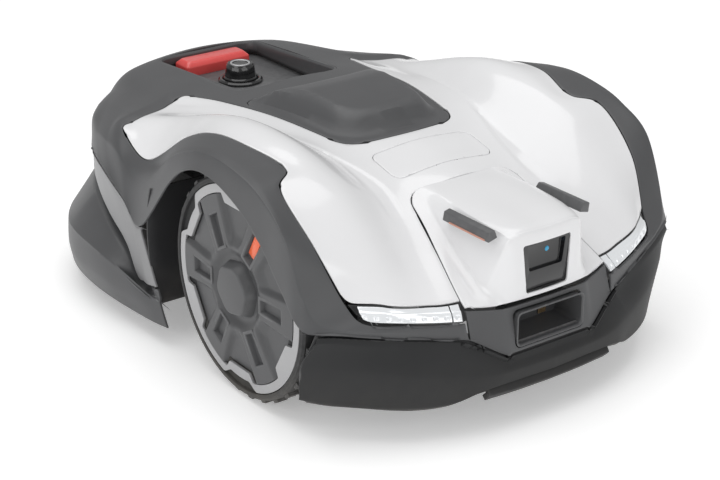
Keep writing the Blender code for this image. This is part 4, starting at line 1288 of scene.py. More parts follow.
@dataclass
class Nose:
    """The white nose with its camera window, and the sensor blocks on its shoulders."""

    shop: Workshop
    cover: Cover
    window_half_top: float = 0.0310
    window_half_foot: float = 0.0265
    window_low: float = 0.1345
    window_high: float = 0.1850
    window_front: float = -0.3218
    window_back: float = -0.3110  # how far back the hole for the window reaches
    ahead: float = -0.36          # a place clear of the nose

    def __post_init__(self) -> None:
        """Lay out the nose's surface."""
        self.surface = Surface([NOSE_CENTRE, NOSE_TOP, NOSE_FOOT, NOSE_SEAM],
                               [Fold(1, 0.0, 6.0, 0.45), Fold(2, 1.0, 6.0, 0.4)])

    def _window_outline(self, grown: float, y: float) -> list[Vector]:
        """The camera window's outline in the plane of a Y, grown by a distance.

        Args:
            grown: how far the outline is moved outwards.
            y: the plane that it lies in.

        Returns:
            Its points, once round.
        """
        middle = (self.window_low + self.window_high) / 2
        half = (self.window_high - self.window_low) / 2
        ring = []
        for point in rounded_rectangle(self.window_half_top + grown, half + grown, 0.003, 4):
            taper = (point.y + half) / (2 * half)
            width = self.window_half_foot + (self.window_half_top - self.window_half_foot) * taper
            ring.append(Vector((point.x * width / self.window_half_top, y, middle + point.y)))
        return ring

    def build(self) -> None:
        """Make the nose, its window and its sensor blocks."""
        bm = skin(self.surface.at, Span(0, 6, 84), Span(-3, 3, 84), away=self._away)
        draw_in(bm, SEAM / 2)
        window = plug([self._window_outline(0.0, y) for y in (self.ahead, self.window_back)])
        outside = self.cover.around(self.cover.nose_outline(-SEAM / 2), self.cover.nose_outline(0.05))
        self.shop.add("nose_panel_skin", bm, Look.WHITE, "cover", ["nose_panel"], 0.0022, EDGE,
                      [outside, self.shop.cutter(window)])
        self._window()
        for side in Side:
            self._sensor_block(side)

    @staticmethod
    def _away(point: Vector) -> Vector:
        """Out of the nose's middle."""
        return (point - Vector((0.0, -0.25, 0.15))).normalized()

    def _window(self) -> None:
        """The window's glossy frame, its sunk panel and a small status light."""
        front = self.window_front
        outer = self._window_outline(-0.0007, front)
        inner = [Vector((p.x * 0.82, front, 0.1690 + (p.z - 0.1597) * 0.54)) for p in outer]
        sunk = [Vector((p.x * 0.97, front + 0.005, p.z)) for p in inner]
        bm = sleeve([outer, inner, sunk], floor=True)
        self._face_front(bm)
        self.shop.add("camera_window_frame", bm, Look.GLOSS, "cover", ["camera_window"], 0.0012, 0.0004)
        light = turned([(0.0, 0.0008), (0.0020, 0.0006), (0.0027, 0.0), (0.0, 0.0)], 24, closed=False)
        self._aim(light, Vector((0.0050, front + 0.0049, 0.1722)))
        self.shop.add("status_light", light, Look.BLUE, "cover")

    @staticmethod
    def _face_front(bm: bmesh.types.BMesh) -> None:
        """Turn an open sheet's faces towards the front."""
        bm.normal_update()
        if sum(face.normal.y for face in bm.faces) > 0.0:
            bmesh.ops.reverse_faces(bm, faces=bm.faces)

    @staticmethod
    def _aim(bm: bmesh.types.BMesh, place: Vector) -> None:
        """Point a turned piece forwards and put it in place."""
        turn(bm, math.pi / 2, "X")
        bmesh.ops.translate(bm, vec=place, verts=bm.verts)

    def _sensor_block(self, side: Side) -> None:
        """A chamfered dark bar on one shoulder of the nose, with a thin coloured lens under it."""
        low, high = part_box("sensor_block_" + side.label)
        size = high - low
        bm = bmesh.new()
        bmesh.ops.create_cube(bm, size=1.0)
        for vert in bm.verts:
            if vert.co.z > 0.0:
                vert.co.x *= 0.62
                vert.co.y *= 0.93
            elif vert.co.y < 0.0:
                vert.co.y *= 0.90
        bmesh.ops.scale(bm, vec=Vector((size.x, size.y, size.z * 0.78)), verts=bm.verts)
        chamfer(bm, bm.edges, 0.0011, 3)
        tilt = side.value * math.radians(14)
        turn(bm, tilt, "Y")
        bmesh.ops.translate(bm, vec=(low + high) / 2 + UP * 0.0008, verts=bm.verts)
        self.shop.add("sensor_block_body_" + side.label, bm, Look.GRAPHITE, "cover",
                      ["sensor_block_" + side.label])
        strip = box((-0.0026, -0.030, -0.0008), (0.0026, 0.024, 0.0008))
        chamfer(strip, strip.edges, 0.0004, 2)
        turn(strip, tilt, "Y")
        place = (low + high) / 2 + Vector((side.value * 0.0030, 0.002, -0.0040))
        bmesh.ops.translate(strip, vec=place, verts=strip.verts)
        self.shop.add("sensor_strip_" + side.label, strip, Look.SALMON, "cover")


# --- Front, belt and skirt --------------------------------------------------------------

MASK_TOP = [(0, -0.3270, 0.1265), (0.0460, -0.3250, 0.1260), (0.0600, -0.3210, 0.1258),
            (0.0920, -0.3110, 0.1296)]
MASK_FOOT = [(0, -0.3335, 0.0795), (0.0460, -0.3335, 0.0795), (0.0570, -0.3330, 0.0795),
             (0.0925, -0.3205, 0.1010)]
BUMPER_MID = [(0, -0.3415, 0.0640), (0.0660, -0.3385, 0.0650), (0.1100, -0.3270, 0.0700),
              (0.1630, -0.3035, 0.0780), (0.2150, -0.2690, 0.0850), (0.2405, -0.2440, 0.0860)]
BUMPER_FOOT = [(0, -0.3400, 0.0510), (0.0800, -0.3360, 0.0505), (0.1180, -0.3230, 0.0400),
               (0.1640, -0.3010, 0.0400), (0.2130, -0.2600, 0.0420), (0.2370, -0.2365, 0.0460)]
CHIN = [[(0, -0.3340, 0.0560), (0.040, -0.3330, 0.0560), (0.0790, -0.3295, 0.0555)],
        [(0, -0.3425, 0.0440), (0.040, -0.3410, 0.0440), (0.0800, -0.3365, 0.0440)],
        [(0, -0.3320, 0.0350), (0.040, -0.3310, 0.0350), (0.0790, -0.3280, 0.0350)]]
LIGHT_FOOT = [(0.1905, -0.2680, 0.1365), (0.1820, -0.2785, 0.1305), (0.160, -0.2905, 0.1272),
              (0.128, -0.3045, 0.1237), (0.0960, -0.3155, 0.1203)]

# The belt runs on past the hem to a point. The skirt has a crease, a widest line and a foot
BELT_TIP = [(0.2378, 0.0480, 0.0625), (0.2372, 0.0305, 0.0655)]
FRONT_SLOPE = 0.47            # how far the belt's and the skirt's front edge runs forward per drop
SKIRT_CREASE = [(0, 0.3390, 0.0700), (0.100, 0.3370, 0.0700), (0.150, 0.3270, 0.0700),
                (0.186, 0.3035, 0.0705), (0.2125, 0.2720, 0.0710), (0.2345, 0.2320, 0.0750),
                (0.2465, 0.1930, 0.0775), (0.2510, 0.1540, 0.0775), (0.2505, 0.1200, 0.0735),
                (0.2465, 0.0850, 0.0670), (0.2420, 0.0560, 0.0580), (0.2375, 0.0238, 0.0500)]
SKIRT_WIDE = [(0, 0.3400, 0.0450), (0.100, 0.3380, 0.0450), (0.150, 0.3290, 0.0450), (0.186, 0.3060, 0.0450),
              (0.213, 0.2745, 0.0450), (0.235, 0.2340, 0.0460), (0.248, 0.1950, 0.0470),
              (0.2524, 0.1550, 0.0480), (0.2525, 0.1200, 0.0470), (0.248, 0.0850, 0.0450),
              (0.243, 0.0470, 0.0420), (0.2375, 0.0185, 0.0390)]
SKIRT_FOOT = [(0, 0.3360, 0.0220), (0.100, 0.3320, 0.0220), (0.150, 0.3190, 0.0220), (0.186, 0.2960, 0.0220),
              (0.208, 0.2720, 0.0220), (0.226, 0.2450, 0.0220), (0.2385, 0.2050, 0.0220),
              (0.2445, 0.1550, 0.0220), (0.245, 0.1150, 0.0220), (0.243, 0.0750, 0.0220),
              (0.2405, 0.0350, 0.0230), (0.237, 0.0110, 0.0240)]


class Loft:
    """A sheet between lines, from the centre line outwards on both sides."""

    def __init__(self, lines: Sequence[Line], folds: Sequence[float]) -> None:
        """Keep the lines.

        Args:
            lines: from the top to the foot.
            folds: for each line, 0 where the sheet is smooth to 1 where it folds.
        """
        self.lines = lines
        self.folds = folds

    def at(self, share: float, down: float) -> Vector:
        """The point at a share of the lines' length, negative on the right, and a line's number."""
        point = smooth_point([line.at(abs(share)) for line in self.lines], down, self.folds)
        if share < 0.0:
            point.x = -point.x
        return point


@dataclass
class Front:
    """Mask with the charging recess, bumper, chin insert and headlights."""

    shop: Workshop
    cover: Cover
    recess_half: float = 0.0430
    recess_low: float = 0.0845
    recess_high: float = 0.1200
    lip_reach: float = 0.0024     # how far the bumper's lip slopes out
    lip_drop: float = 0.0060      # and down
    top_gap: float = 0.0016       # from the mask and the fender band down to the bumper
    backing: float = 0.0060       # how far the dark backing lies behind the bumper

    def mask(self) -> None:
        """The dark mask with its recess."""
        loft = Loft([Line(MASK_TOP), Line(MASK_FOOT)], [0.0, 0.0])
        bm = skin(loft.at, Span(-1, 1, 96), Span(0, 1, 24), away=forwards)
        draw_in(bm, SEAM / 2)
        sheet = bm.copy()
        tree = BVHTree.FromBMesh(sheet)
        sheet.free()
        middle = Vector((0.0, 0.0, (self.recess_low + self.recess_high) / 2))
        half = (self.recess_high - self.recess_low) / 2

        def outline(grown: float, corner: float, y: float) -> list[Vector]:
            """The recess's outline in the plane of a Y, grown by a distance."""
            return [Vector((p.x, y, p.y)) + middle
                    for p in rounded_rectangle(self.recess_half + grown, half + grown, corner, 5)]

        def on_mask(ring: Sequence[Vector], back: float) -> list[Vector]:
            """An outline laid on the mask and moved back."""
            start = Vector((0.0, 0.3, 0.0))
            found = []
            for point in ring:
                hit = tree.ray_cast(point - start, Vector((0.0, 1.0, 0.0)))[0]
                found.append(Vector((point.x, (hit.y if hit else -0.333) + back, point.z)))
            return found

        hole = plug([outline(0.0016, 0.006, y) for y in (-0.36, -0.29)])
        self.shop.add("nose_mask_skin", bm, Look.GRAPHITE, "cover", ["nose_mask"], 0.004, EDGE,
                      [self.shop.cutter(hole)])
        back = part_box("charge_contact_left")[1].y + 0.0006
        rings = [on_mask(outline(0.0010, 0.006, 0.0), 0.0), on_mask(outline(-0.0004, 0.005, 0.0), -0.0004),
                 on_mask(outline(-0.0016, 0.005, 0.0), 0.0012), outline(-0.0040, 0.004, back)]
        bucket = sleeve(rings, floor=True)
        Nose._face_front(bucket)
        self.shop.add("charging_recess", bucket, Look.GRAPHITE, "cover", wall=0.0015, edge=0.0004)

    def bumper(self) -> None:
        """The bumper: a sloping lip along its top, and a plain face below it."""
        fender_foot = [self.cover.flank.at(BAND_END - 2.5 * step / 20, 2.0) for step in range(21)]
        mask_foot = Line(MASK_FOOT).points[:-1]
        edge = mask_foot[:-8] + fender_foot[1:]
        top = Line([point - UP * self.top_gap for point in edge], smooth=False)
        middle, foot = Line(BUMPER_MID), Line(BUMPER_FOOT)
        lip = Line([point + outward(point) * self.lip_reach - UP * self.lip_drop for point in top.points],
                   smooth=False)
        loft = Loft([top, lip, middle, foot], [1.0, 0.9, 0.35, 0.0])
        bm = skin(loft.at, Span(-1, 1, 480), Span(0, 3, 30))
        draw_in(bm, SEAM / 2)
        self.shop.add("front_bumper_skin", bm, Look.BUMPER, "cover", ["front_bumper"], 0.004, EDGE)
        behind = [Line([point - outward(point) * back + UP * rise for point in line.points], smooth=False)
                  for line, back, rise in ((top, self.backing, 0.010), (middle, self.backing, 0.0),
                                           (foot, self.backing, 0.0), (foot, 0.012, -0.012))]
        backing = skin(Loft(behind, [0.0] * 4).at, Span(-1, 1, 120), Span(0, 3, 12))
        self.shop.add("bumper_backing", backing, Look.CHASSIS, "cover", wall=0.002)

    def chin(self) -> None:
        """The insert under the middle of the bumper."""
        chin = Loft([Line(line) for line in CHIN], [0.0, 0.7, 0.0])
        bm = skin(chin.at, Span(-1, 1, 60), Span(0, 2, 12), away=forwards)
        self.shop.add("chin_insert_skin", bm, Look.BUMPER, "cover", ["chin_insert"], 0.006, EDGE)

    def headlights(self) -> None:
        """Both headlights: bright stepped lenses in a black surround."""
        for side in Side:
            top = [self.cover.white(LIGHT_LINE, 3.95 - 2.95 * step / 60) for step in range(61)]
            top = [point - UP * 0.0012 for point in top]
            lines = [Line([(p[0] * side.value, p[1], p[2]) for p in edge], smooth=edge is LIGHT_FOOT)
                     for edge in (top, LIGHT_FOOT)]
            loft = Loft(lines, [0.0, 0.0])

            def lens(share: float, down: float) -> Vector:
                """The lens's bulging surface with its step and its row of notches."""
                point = loft.at(share, down)
                bulge = math.sin(math.pi * min(max(down, 0.0), 1.0)) * 0.0014
                step = 0.0011 * (1.0 - smooth_step(0.36, 0.42, down))
                row = smooth_step(0.60, 0.64, down) * (1.0 - smooth_step(0.80, 0.84, down))
                notch = 0.0014 * row * (0.5 + 0.5 * math.cos(share * 60.0)) ** 4
                return point + outward(point) * (bulge - step - notch)

            bm = skin(lens, Span(0.075, 0.885, 150), Span(0.09, 0.95, 24))
            self.shop.add("headlight_lens_" + side.label, bm, Look.LAMP, "cover",
                          ["headlight_" + side.label], 0.0025, 0.0003)
            bm = skin(lens, Span(0.897, 0.980, 16), Span(0.09, 0.95, 24))
            self.shop.add("headlight_end_lens_" + side.label, bm, Look.LAMP, "cover",
                          wall=0.0025, edge=0.0003)

            def surround(share: float, down: float) -> Vector:
                """The surround's surface, behind the lens."""
                point = loft.at(share, down)
                return point - outward(point) * 0.0014

            back = skin(surround, Span(0.0, 1.0, 60), Span(0.0, 1.0, 6))
            self.shop.add("headlight_surround_" + side.label, back, Look.GLOSS, "cover", wall=0.003)

    def build(self) -> None:
        """Make the whole front."""
        self.mask()
        self.bumper()
        self.chin()
        self.headlights()


@dataclass
class Liner:
    """Dark wall behind one drive wheel, under the rear end of its arch."""

    shop: Workshop
    side: Side
    reach: float = 0.1680         # its distance from the wheel's axle
    inner: float = 0.1500
    outer: float = 0.2362

    def build(self) -> None:
        """Make the wall."""
        low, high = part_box("tyre_" + self.side.label)
        axle = (low + high) / 2

        def place(out: float, angle: float) -> Vector:
            """A point of the wall at a distance outwards and an angle over the level."""
            return Vector((out * self.side.value, axle.y + self.reach * math.cos(angle),
                           axle.z + self.reach * math.sin(angle)))

        bm = skin(place, Span(self.inner, self.outer, 6), Span(math.radians(-26), math.radians(20), 24),
                  away=lambda point: (axle - point).normalized())
        self.shop.add("arch_liner_" + self.side.label, bm, Look.CHASSIS, "cover", wall=0.002, edge=0.0004)


@dataclass
class Flanks:
    """Light belt under the cover's hem, and the flared skirt below it."""

    shop: Workshop
    cover: Cover
    belt_height: float = 0.028
    drop: float = 0.0016
    inset: float = 0.0014         # how far the belt stands back from the hem
    recess: float = 0.0160        # how far the skirt is tucked in under the belt

    def _belt_lines(self) -> tuple[list[Vector], list[Vector]]:
        """The belt's top and foot, from the tail round to its point."""
        body = self.cover.body
        hem = [body.at(0.0, rail / 8) for rail in range(48)]
        hem += [body.at(station / 8, 6.0) for station in range(41)]
        top = [point - UP * self.drop - outward(point) * self.inset for point in hem]
        foot = []
        for step, point in enumerate(top):
            share = step / (len(top) - 1)
            gain = 0.020 * smooth_step(0.50, 0.88, share) + 0.015 * smooth_step(0.86, 1.0, share)
            foot.append(point - UP * (self.belt_height + gain))
        return top, foot + Line([foot[-1]] + [Vector(point) for point in BELT_TIP]).points[1:]

    def build(self) -> None:
        """Make the belt and the skirt."""
        top, foot = self._belt_lines()
        crown = [point - UP * 0.004 for point in top]
        rim = [point - outward(point) * 0.0013 for point in top]
        lines = [Line(line, smooth=False) for line in (rim, crown, foot)]
        bm = skin(Loft(lines, [0.0, 0.8, 0.0]).at, Span(-1, 1, 300), Span(0, 2, 16))
        draw_in(bm, SEAM / 2)
        self.shop.add("belt_strip_skin", bm, Look.BELT, "cover", ["belt_strip"], SHELL, EDGE)

        def under(reach: float, fall: float) -> Line:
            """A line under the belt: tucked in and lowered, less so towards its point."""
            moved = []
            for step, point in enumerate(foot):
                fade = 1.0 - smooth_step(0.55, 0.93, step / (len(foot) - 1))
                inwards = outward(point) * (0.0010 + reach * fade)
                slope = UP + Vector((0.0, FRONT_SLOPE * (1.0 - fade), 0.0))
                moved.append(point - inwards - slope * (self.drop + fall * (0.60 + 0.40 * fade)))
            return Line(moved, smooth=False)

        skirt = Loft([under(self.recess, 0.0), under(self.recess, 0.0110), under(-0.0012, 0.0150),
                      Line(SKIRT_CREASE), Line(SKIRT_WIDE), Line(SKIRT_FOOT)], [0.0, 0.7, 0.7, 0.9, 0.2, 0.0])
        bm = skin(skirt.at, Span(-1, 1, 300), Span(0, 5, 50))
        draw_in(bm, SEAM / 2)
        self.shop.add("rear_skirt_skin", bm, Look.GRAPHITE, "cover", ["rear_skirt"], 0.003, 0.0009)


# --- Controls ---------------------------------------------------------------------------


@dataclass
class Controls:
    """Stop bar and knob in the control well."""

    shop: Workshop

    def stop_bar(self) -> None:
        """A red bar with broad chamfers along its top."""
        low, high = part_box("stop_button")
        bm = box(low, high)
        upper = [edge for edge in bm.edges if all(vert.co.z > high.z - 0.001 for vert in edge.verts)]
        chamfer(bm, upper, 0.0052, 1)
        chamfer(bm, upright_edges(bm, 0.004), 0.004, 4)
        self.shop.add("stop_bar", bm, Look.RED, "stop", ["stop_button"], edge=0.0012)

    def knob(self) -> None:
        """A glossy knob with ten grip facets on a skirt, and its pale ring round the button."""
        low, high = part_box("control_knob")
        place = Vector(((low.x + high.x) / 2, (low.y + high.y) / 2, low.z))
        height = high.z - low.z - 0.0045
        collar = turned([(0.0212, -0.0024), (0.0268, -0.0024), (0.0264, -0.0004), (0.0245, 0.0012),
                         (0.0222, 0.0014), (0.0212, 0.0004)], 64)
        bmesh.ops.translate(collar, vec=place, verts=collar.verts)
        self.shop.add("knob_collar", collar, Look.GLOSS, "cover", edge=0.0003)
        skirt = turned([(0.0205, 0.0), (0.0205, 0.0024), (0.0188, 0.0040), (0.0150, 0.0048), (0.0070, 0.0048),
                        (0.0070, 0.0)], 64)
        grip = bmesh.new()
        bmesh.ops.create_cone(grip, cap_ends=True, segments=10, radius1=0.0194, radius2=0.0170,
                              depth=height - 0.0066)
        bmesh.ops.translate(grip, vec=UP * (0.0044 + (height - 0.0066) / 2), verts=grip.verts)
        chamfer(grip, upright_edges(grip, 0.003), 0.0016, 3)
        crown = turned([(0.0135, height - 0.0030), (0.0163, height - 0.0030), (0.0150, height - 0.0006),
                        (0.0138, height), (0.0125, height - 0.0004)], 64)
        bm = join(skirt, grip, crown)
        bmesh.ops.translate(bm, vec=place, verts=bm.verts)
        self.shop.add("control_knob_body", bm, Look.GLOSS, "knob", ["control_knob"], edge=0.0004)
        ring = turned([(0.0092, height - 0.0006), (0.0100, height + 0.0002), (0.0118, height + 0.0002),
                       (0.0124, height - 0.0006)], 64)
        bmesh.ops.translate(ring, vec=place, verts=ring.verts)
        body = frame["nodes"]["knob_ring"]["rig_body"]
        self.shop.add("knob_pale_ring", ring, Look.KNOB, body, ["knob_ring"], edge=0.0002)
        button = turned([(0.0, height - 0.0014), (0.0085, height - 0.0010), (0.0091, height - 0.0020),
                         (0.0, height - 0.0024)], 48, closed=False)
        bmesh.ops.translate(button, vec=place, verts=button.verts)
        self.shop.add("knob_button", button, Look.GLOSS, body)

    def build(self) -> None:
        """Make the controls."""
        self.stop_bar()
        self.knob()


# --- Wheels -----------------------------------------------------------------------------


@dataclass
class DriveWheel:
    """One drive wheel, built lying on its inner side with X up and Z out, then stood up."""

    shop: Workshop
    side: Side
    radius: float = 0.120
    width: float = 0.054
    face: float = 0.0538          # height of the ring over the wheel's inner side
    edge_radius: float = 0.0985   # reach of the cap's spokes
    chord: float = 0.0868         # distance of the cap's straight edges between its spokes
    ring_radius: float = 0.1085
    slots: int = 6
    lugs: int = 30

    def _stand(self, bm: bmesh.types.BMesh) -> bmesh.types.BMesh:
        """Stand a piece up on its axle, on the wheel's own side."""
        low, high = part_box("tyre_" + self.side.label)
        sign = self.side.value
        inner = min(abs(low.x), abs(high.x)) * sign
        middle = (low + high) / 2
        upright = Matrix(((0, 0, sign, inner), (0, 1, 0, middle.y), (1, 0, 0, middle.z), (0, 0, 0, 1)))
        bmesh.ops.transform(bm, matrix=upright, verts=bm.verts)
        if sign > 0:
            bmesh.ops.reverse_faces(bm, faces=bm.faces)
        return bm

    def _add(self, name: str, bm: bmesh.types.BMesh, look: Look, nodes: Sequence[str] = (),
             wall: float = 0.0, edge: float = 0.0) -> None:
        """Finish a piece of the wheel."""
        label = self.side.label
        self.shop.add(name + "_" + label, self._stand(bm), look, "wheel_" + label,
                      [node + "_" + label for node in nodes], wall, edge)

    def _from_spoke(self, angle: float) -> float:
        """Angle from the nearest spoke's middle."""
        pitch = 2 * math.pi / self.slots
        return abs((angle % pitch) - pitch / 2)

    @staticmethod
    def _narrow(angle: float) -> float:
        """1 where the ring is narrow between two spokes, 0 where it is wide."""
        return 1.0 if math.cos(3 * angle) < 0.0 else 0.0

    def cap_edge(self, angle: float) -> float:
        """The cap's reach: round ends on the spokes and straight edges between them.

        Args:
            angle: from the wheel's top, seen from outside.

        Returns:
            The distance from the axle.
        """
        off = self._from_spoke(angle)
        pocket = math.pi / self.slots - off
        straight = self.chord / math.cos(pocket)
        share = smooth_step(math.radians(15.0), math.radians(18.5), off)
        return self.edge_radius + (straight - self.edge_radius) * share

    def ring_edge(self, angle: float) -> float:
        """The silver ring's outer reach: round, but drawn in at every second pocket.

        Args:
            angle: from the wheel's top, seen from outside.

        Returns:
            The distance from the axle.
        """
        off = self._from_spoke(angle)
        pull = smooth_step(math.radians(13.0), math.radians(21.0), off) * self._narrow(angle)
        return self.ring_radius - 0.0100 * pull

    def _cap_height(self, radius: float, angle: float) -> float:
        """The cap's outer surface: spokes on a shallow dome, with sunk fields between them.

        Args:
            radius: distance from the axle.
            angle: from the wheel's top, seen from outside.

        Returns:
            The height over the wheel's inner side.
        """
        dome = self.face + 0.0028 * (1.0 - (radius / self.edge_radius) ** 2)
        dome -= 0.0065 * (1.0 - smooth_step(0.033, 0.047, radius))
        off = self._from_spoke(angle) * radius
        half = 0.0135 + 0.075 * max(0.0, radius - 0.040)
        sunk = smooth_step(half, half + 0.0070, off) * smooth_step(0.040, 0.060, radius)
        return dome - 0.0050 * sunk

    def _polar(self, inner: Callable[[float], float], outer: Callable[[float], float],
               height: Callable[[float, float], float], rings: int, steps: int,
               keeps: Optional[Test] = None) -> bmesh.types.BMesh:
        """A round sheet between an inner and an outer edge.

        Args:
            inner: gives the inner edge's radius at an angle.
            outer: gives the outer edge's radius at an angle.
            height: gives the surface's height at a radius and an angle.
            rings: cells from edge to edge.
            steps: cells round.
            keeps: says whether a point of the plane belongs to the sheet.

        Returns:
            The sheet.
        """
        def place(round_share: float, share: float) -> Vector:
            """The point at a share of a full round and a share from the inner to the outer edge."""
            angle = 2 * math.pi * round_share
            radius = inner(angle) + (outer(angle) - inner(angle)) * share
            return Vector((radius * math.cos(angle), radius * math.sin(angle), height(radius, angle)))

        def cell(round_share: float, share: float) -> bool:
            """True where the sheet is kept."""
            point = place(round_share, share)
            return keeps is None or keeps(point.x, point.y)

        return skin(place, Span(0, 1, steps), Span(0, 1, rings), cell, away=lambda point: UP)

    def _slot_angle(self, index: int) -> float:
        """The middle of a spoke."""
        return 2 * math.pi / self.slots * (index + 0.5)

    def _in_slot(self, x: float, y: float) -> bool:
        """True inside a slot's frame.

        Args:
            x: towards the wheel's top.
            y: across it.

        Returns:
            Whether the point is inside a slot.
        """
        for index in range(self.slots):
            angle = self._slot_angle(index)
            along = x * math.cos(angle) + y * math.sin(angle)
            across = -x * math.sin(angle) + y * math.cos(angle)
            if 0.0445 < along < 0.0805 and abs(across) < 0.0088:
                return True
        return False

    def cap(self) -> None:
        """Cap with six framed slots, and the plate behind them."""
        bm = self._polar(lambda angle: 0.022, self.cap_edge, self._cap_height, 64, 432,
                         lambda x, y: not self._in_slot(x, y))
        self._add("wheel_cap_skin", bm, Look.GRAPHITE, ["wheel_cap"], 0.0030, 0.0004)
        frames = bmesh.new()
        for index in range(self.slots):
            face = bmesh.ops.create_grid(frames, x_segments=1, y_segments=1, size=0.5)["verts"]
            bmesh.ops.scale(frames, vec=(0.0400, 0.0216, 1.0), verts=face)
            bmesh.ops.translate(frames, vec=(0.0625, 0.0, self.face + 0.0028), verts=face)
            for vert in face:
                vert.co.y *= 0.90 + 0.20 * (vert.co.x > 0.0625)
                vert.co.z -= 0.0022 * (vert.co.x > 0.0625)
            turn(frames, self._slot_angle(index), "Z", face)
        for width, sink in ((0.0034, 0.0), (0.0012, 0.0055)):
            inner = [face for face in frames.faces if face.select or not face.tag]
            bmesh.ops.inset_individual(frames, faces=inner, thickness=width, use_even_offset=True)
            for face in inner:
                for vert in face.verts:
                    vert.co.z -= sink
            for face in frames.faces:
                face.tag = face not in inner
        self._add("wheel_slot_frames", frames, Look.GRAPHITE, wall=0.0060, edge=0.0007)

    def ring(self) -> None:
        """Silver ring round the cap."""
        bm = self._polar(lambda angle: self.cap_edge(angle) + 0.0007, self.ring_edge,
                         lambda radius, angle: self.face - 0.0006 + 0.025 * (self.ring_radius - radius),
                         10, 432)
        self._add("wheel_ring_skin", bm, Look.RING, ["wheel_ring"], 0.0032, 0.0006)

    def insert(self) -> None:
        """Coloured insert in the slot that is ahead and up."""
        bm = box((0.0520, -0.0056, self.face - 0.0050), (0.0770, 0.0056, self.face - 0.0012))
        chamfer(bm, bm.edges, 0.0008, 2)
        turn(bm, self._slot_angle(self.slots - 1), "Z")
        self._add("wheel_insert_body", bm, Look.ORANGE, ["wheel_insert"])

    def hub(self) -> None:
        """Centre boss: a rounded six-sided block, standing in the cap's round middle."""
        cap, tyre = (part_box(node + self.side.label) for node in ("centre_cap_", "tyre_"))
        top = max(abs(corner.x) for corner in cap) - min(abs(corner.x) for corner in tyre)
        boss = bmesh.new()
        foot = self.face - 0.0060
        bmesh.ops.create_cone(boss, cap_ends=True, segments=6, radius1=0.0345, radius2=0.0280,
                              depth=top - foot)
        turn(boss, math.radians(12), "Z")
        bmesh.ops.translate(boss, vec=UP * (foot + top) / 2, verts=boss.verts)
        chamfer(boss, upright_edges(boss, 0.003), 0.0075, 6)
        rim = [edge for edge in boss.edges if all(vert.co.z > top - 0.0005 for vert in edge.verts)]
        chamfer(boss, rim, 0.0016, 3)
        self._add("wheel_boss", boss, Look.GRAPHITE, ["centre_cap"], edge=0.0004)

    def tyre(self) -> None:
        """Tyre with a rounded shoulder, a bead line and small lugs along both edges."""
        base = self.radius - 0.0040
        profile = [(0.0885, 0.0), (0.1080, 0.0), (0.1135, 0.0012), (base, 0.0050), (base, 0.0200),
                   (base - 0.0020, 0.0215), (base - 0.0020, 0.0325), (base, 0.0340), (base + 0.0008, 0.0470),
                   (base + 0.0004, 0.0508), (0.1142, 0.0532), (0.1115, 0.0538), (0.1095, 0.0536),
                   (0.1090, 0.0500), (0.0885, 0.0500)]
        tread = turned(profile, 120)
        lugs = bmesh.new()
        for index in range(self.lugs):
            for low, high, lag in ((0.0040, 0.0180, 0.0), (0.0360, 0.0500, 0.5)):
                made = bmesh.ops.create_cube(lugs, size=1.0)["verts"]
                bmesh.ops.scale(lugs, vec=(0.0065, 0.0095, high - low), verts=made)
                for vert in made:
                    if vert.co.x > 0.0:
                        vert.co.y *= 0.80
                        vert.co.z *= 0.86
                bmesh.ops.translate(lugs, vec=(self.radius - 0.00325, 0.0, (low + high) / 2), verts=made)
                turn(lugs, 2 * math.pi * (index + lag) / self.lugs, "Z", made)
        self._add("tyre_tread", join(tread, lugs), Look.TYRE, ["tyre"], edge=0.0005)

    def build(self) -> None:
        """Make the wheel."""
        self.tyre()
        self.ring()
        self.cap()
        self.insert()
        self.hub()


# --- Scene ------------------------------------------------------------------------------


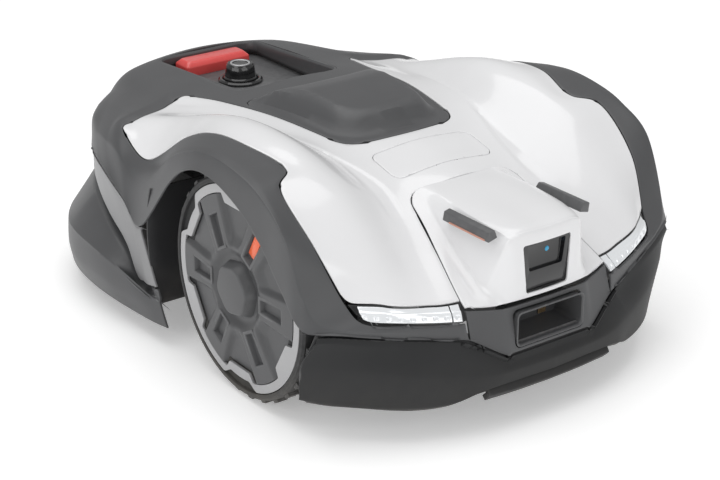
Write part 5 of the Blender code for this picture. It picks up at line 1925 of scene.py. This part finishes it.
@dataclass
class Studio:
    """Pale floor, soft lights and the camera."""

    eye: Point = (-1.0977, -1.5054, 0.8851)
    back: Point = (-0.54346, -0.73773, 0.40051)
    lens: float = 90.0
    sky: float = 0.42
    glow: float = 0.30

    def floor(self) -> None:
        """A plain flat floor with a faint glow of its own."""
        bm = bmesh.new()
        bmesh.ops.create_grid(bm, x_segments=1, y_segments=1, size=12.0)
        mesh = bpy.data.meshes.new("floor")
        bm.to_mesh(mesh)
        bm.free()
        floor = bpy.data.objects.new("floor", mesh)
        bpy.context.scene.collection.objects.link(floor)
        material = bpy.data.materials.new("pale_floor")
        material.use_nodes = True
        shader = material.node_tree.nodes["Principled BSDF"]
        shader.inputs["Base Color"].default_value = (0.93, 0.93, 0.93, 1.0)
        shader.inputs["Roughness"].default_value = 0.85
        shader.inputs["Emission Color"].default_value = (1.0, 1.0, 1.0, 1.0)
        shader.inputs["Emission Strength"].default_value = self.glow
        mesh.materials.append(material)

    def lights(self) -> None:
        """A bright sky and three large soft lamps."""
        world = bpy.data.worlds.new("studio")
        bpy.context.scene.world = world
        world.use_nodes = True
        link, nodes = world.node_tree.links.new, world.node_tree.nodes
        sky = nodes["Background"]
        sky.inputs["Color"].default_value = (1.0, 1.0, 1.0, 1.0)
        rays = nodes.new("ShaderNodeLightPath")
        strength = nodes.new("ShaderNodeMapRange")
        strength.inputs["To Min"].default_value = self.sky
        strength.inputs["To Max"].default_value = 1.0
        link(rays.outputs["Is Camera Ray"], strength.inputs["Value"])
        link(strength.outputs["Result"], sky.inputs["Strength"])
        for name, place, size, power in (("key", (-0.2, 0.3, 3.0), 3.4, 54.0),
                                         ("fill", (-2.4, -0.6, 1.1), 1.5, 12.0),
                                         ("front", (0.2, -2.4, 1.2), 1.2, 7.0)):
            lamp = bpy.data.lights.new(name, "AREA")
            lamp.size = size
            lamp.energy = power
            light = bpy.data.objects.new(name, lamp)
            light.location = place
            light.rotation_mode = "QUATERNION"
            light.rotation_quaternion = (Vector((0, 0, 0.1)) - Vector(place)).to_track_quat("-Z", "Y")
            bpy.context.scene.collection.objects.link(light)

    def camera(self) -> None:
        """The camera, ahead of the mower's right front corner and above it."""
        data = bpy.data.cameras.new("camera")
        data.lens = self.lens
        data.sensor_width = 36.0
        data.clip_end = 40.0
        camera = bpy.data.objects.new("camera", data)
        camera.location = self.eye
        camera.rotation_mode = "QUATERNION"
        camera.rotation_quaternion = (-Vector(self.back)).to_track_quat("-Z", "Y")
        bpy.context.scene.collection.objects.link(camera)
        bpy.context.scene.camera = camera
        bpy.context.scene.view_settings.view_transform = "Standard"

    def build(self) -> None:
        """Set the scene."""
        self.floor()
        self.lights()
        self.camera()


def dress_frame(shop: Workshop) -> None:
    """Give the frame's own nodes their finishes.

    Args:
        shop: where the finishes come from.
    """
    by_slot = {look.value.slot: look for look in reversed(Look)}
    for part in frame["record"]["subparts"]:
        if part["node"] in frame["nodes"]:
            shop.dress(by_slot[part["material_slot"]], part["node"])


def main() -> None:
    """Build the scene piece by piece."""
    logging.basicConfig(level=logging.INFO, format="%(name)s: %(message)s")
    Studio().build()
    shop = Workshop()
    dress_frame(shop)
    cover = Cover(shop)
    cover.build()
    Nose(shop, cover).build()
    Front(shop, cover).build()
    Flanks(shop, cover).build()
    Controls(shop).build()
    for side in Side:
        DriveWheel(shop, side).build()
        Liner(shop, side).build()


if __name__ == "__main__":
    main()
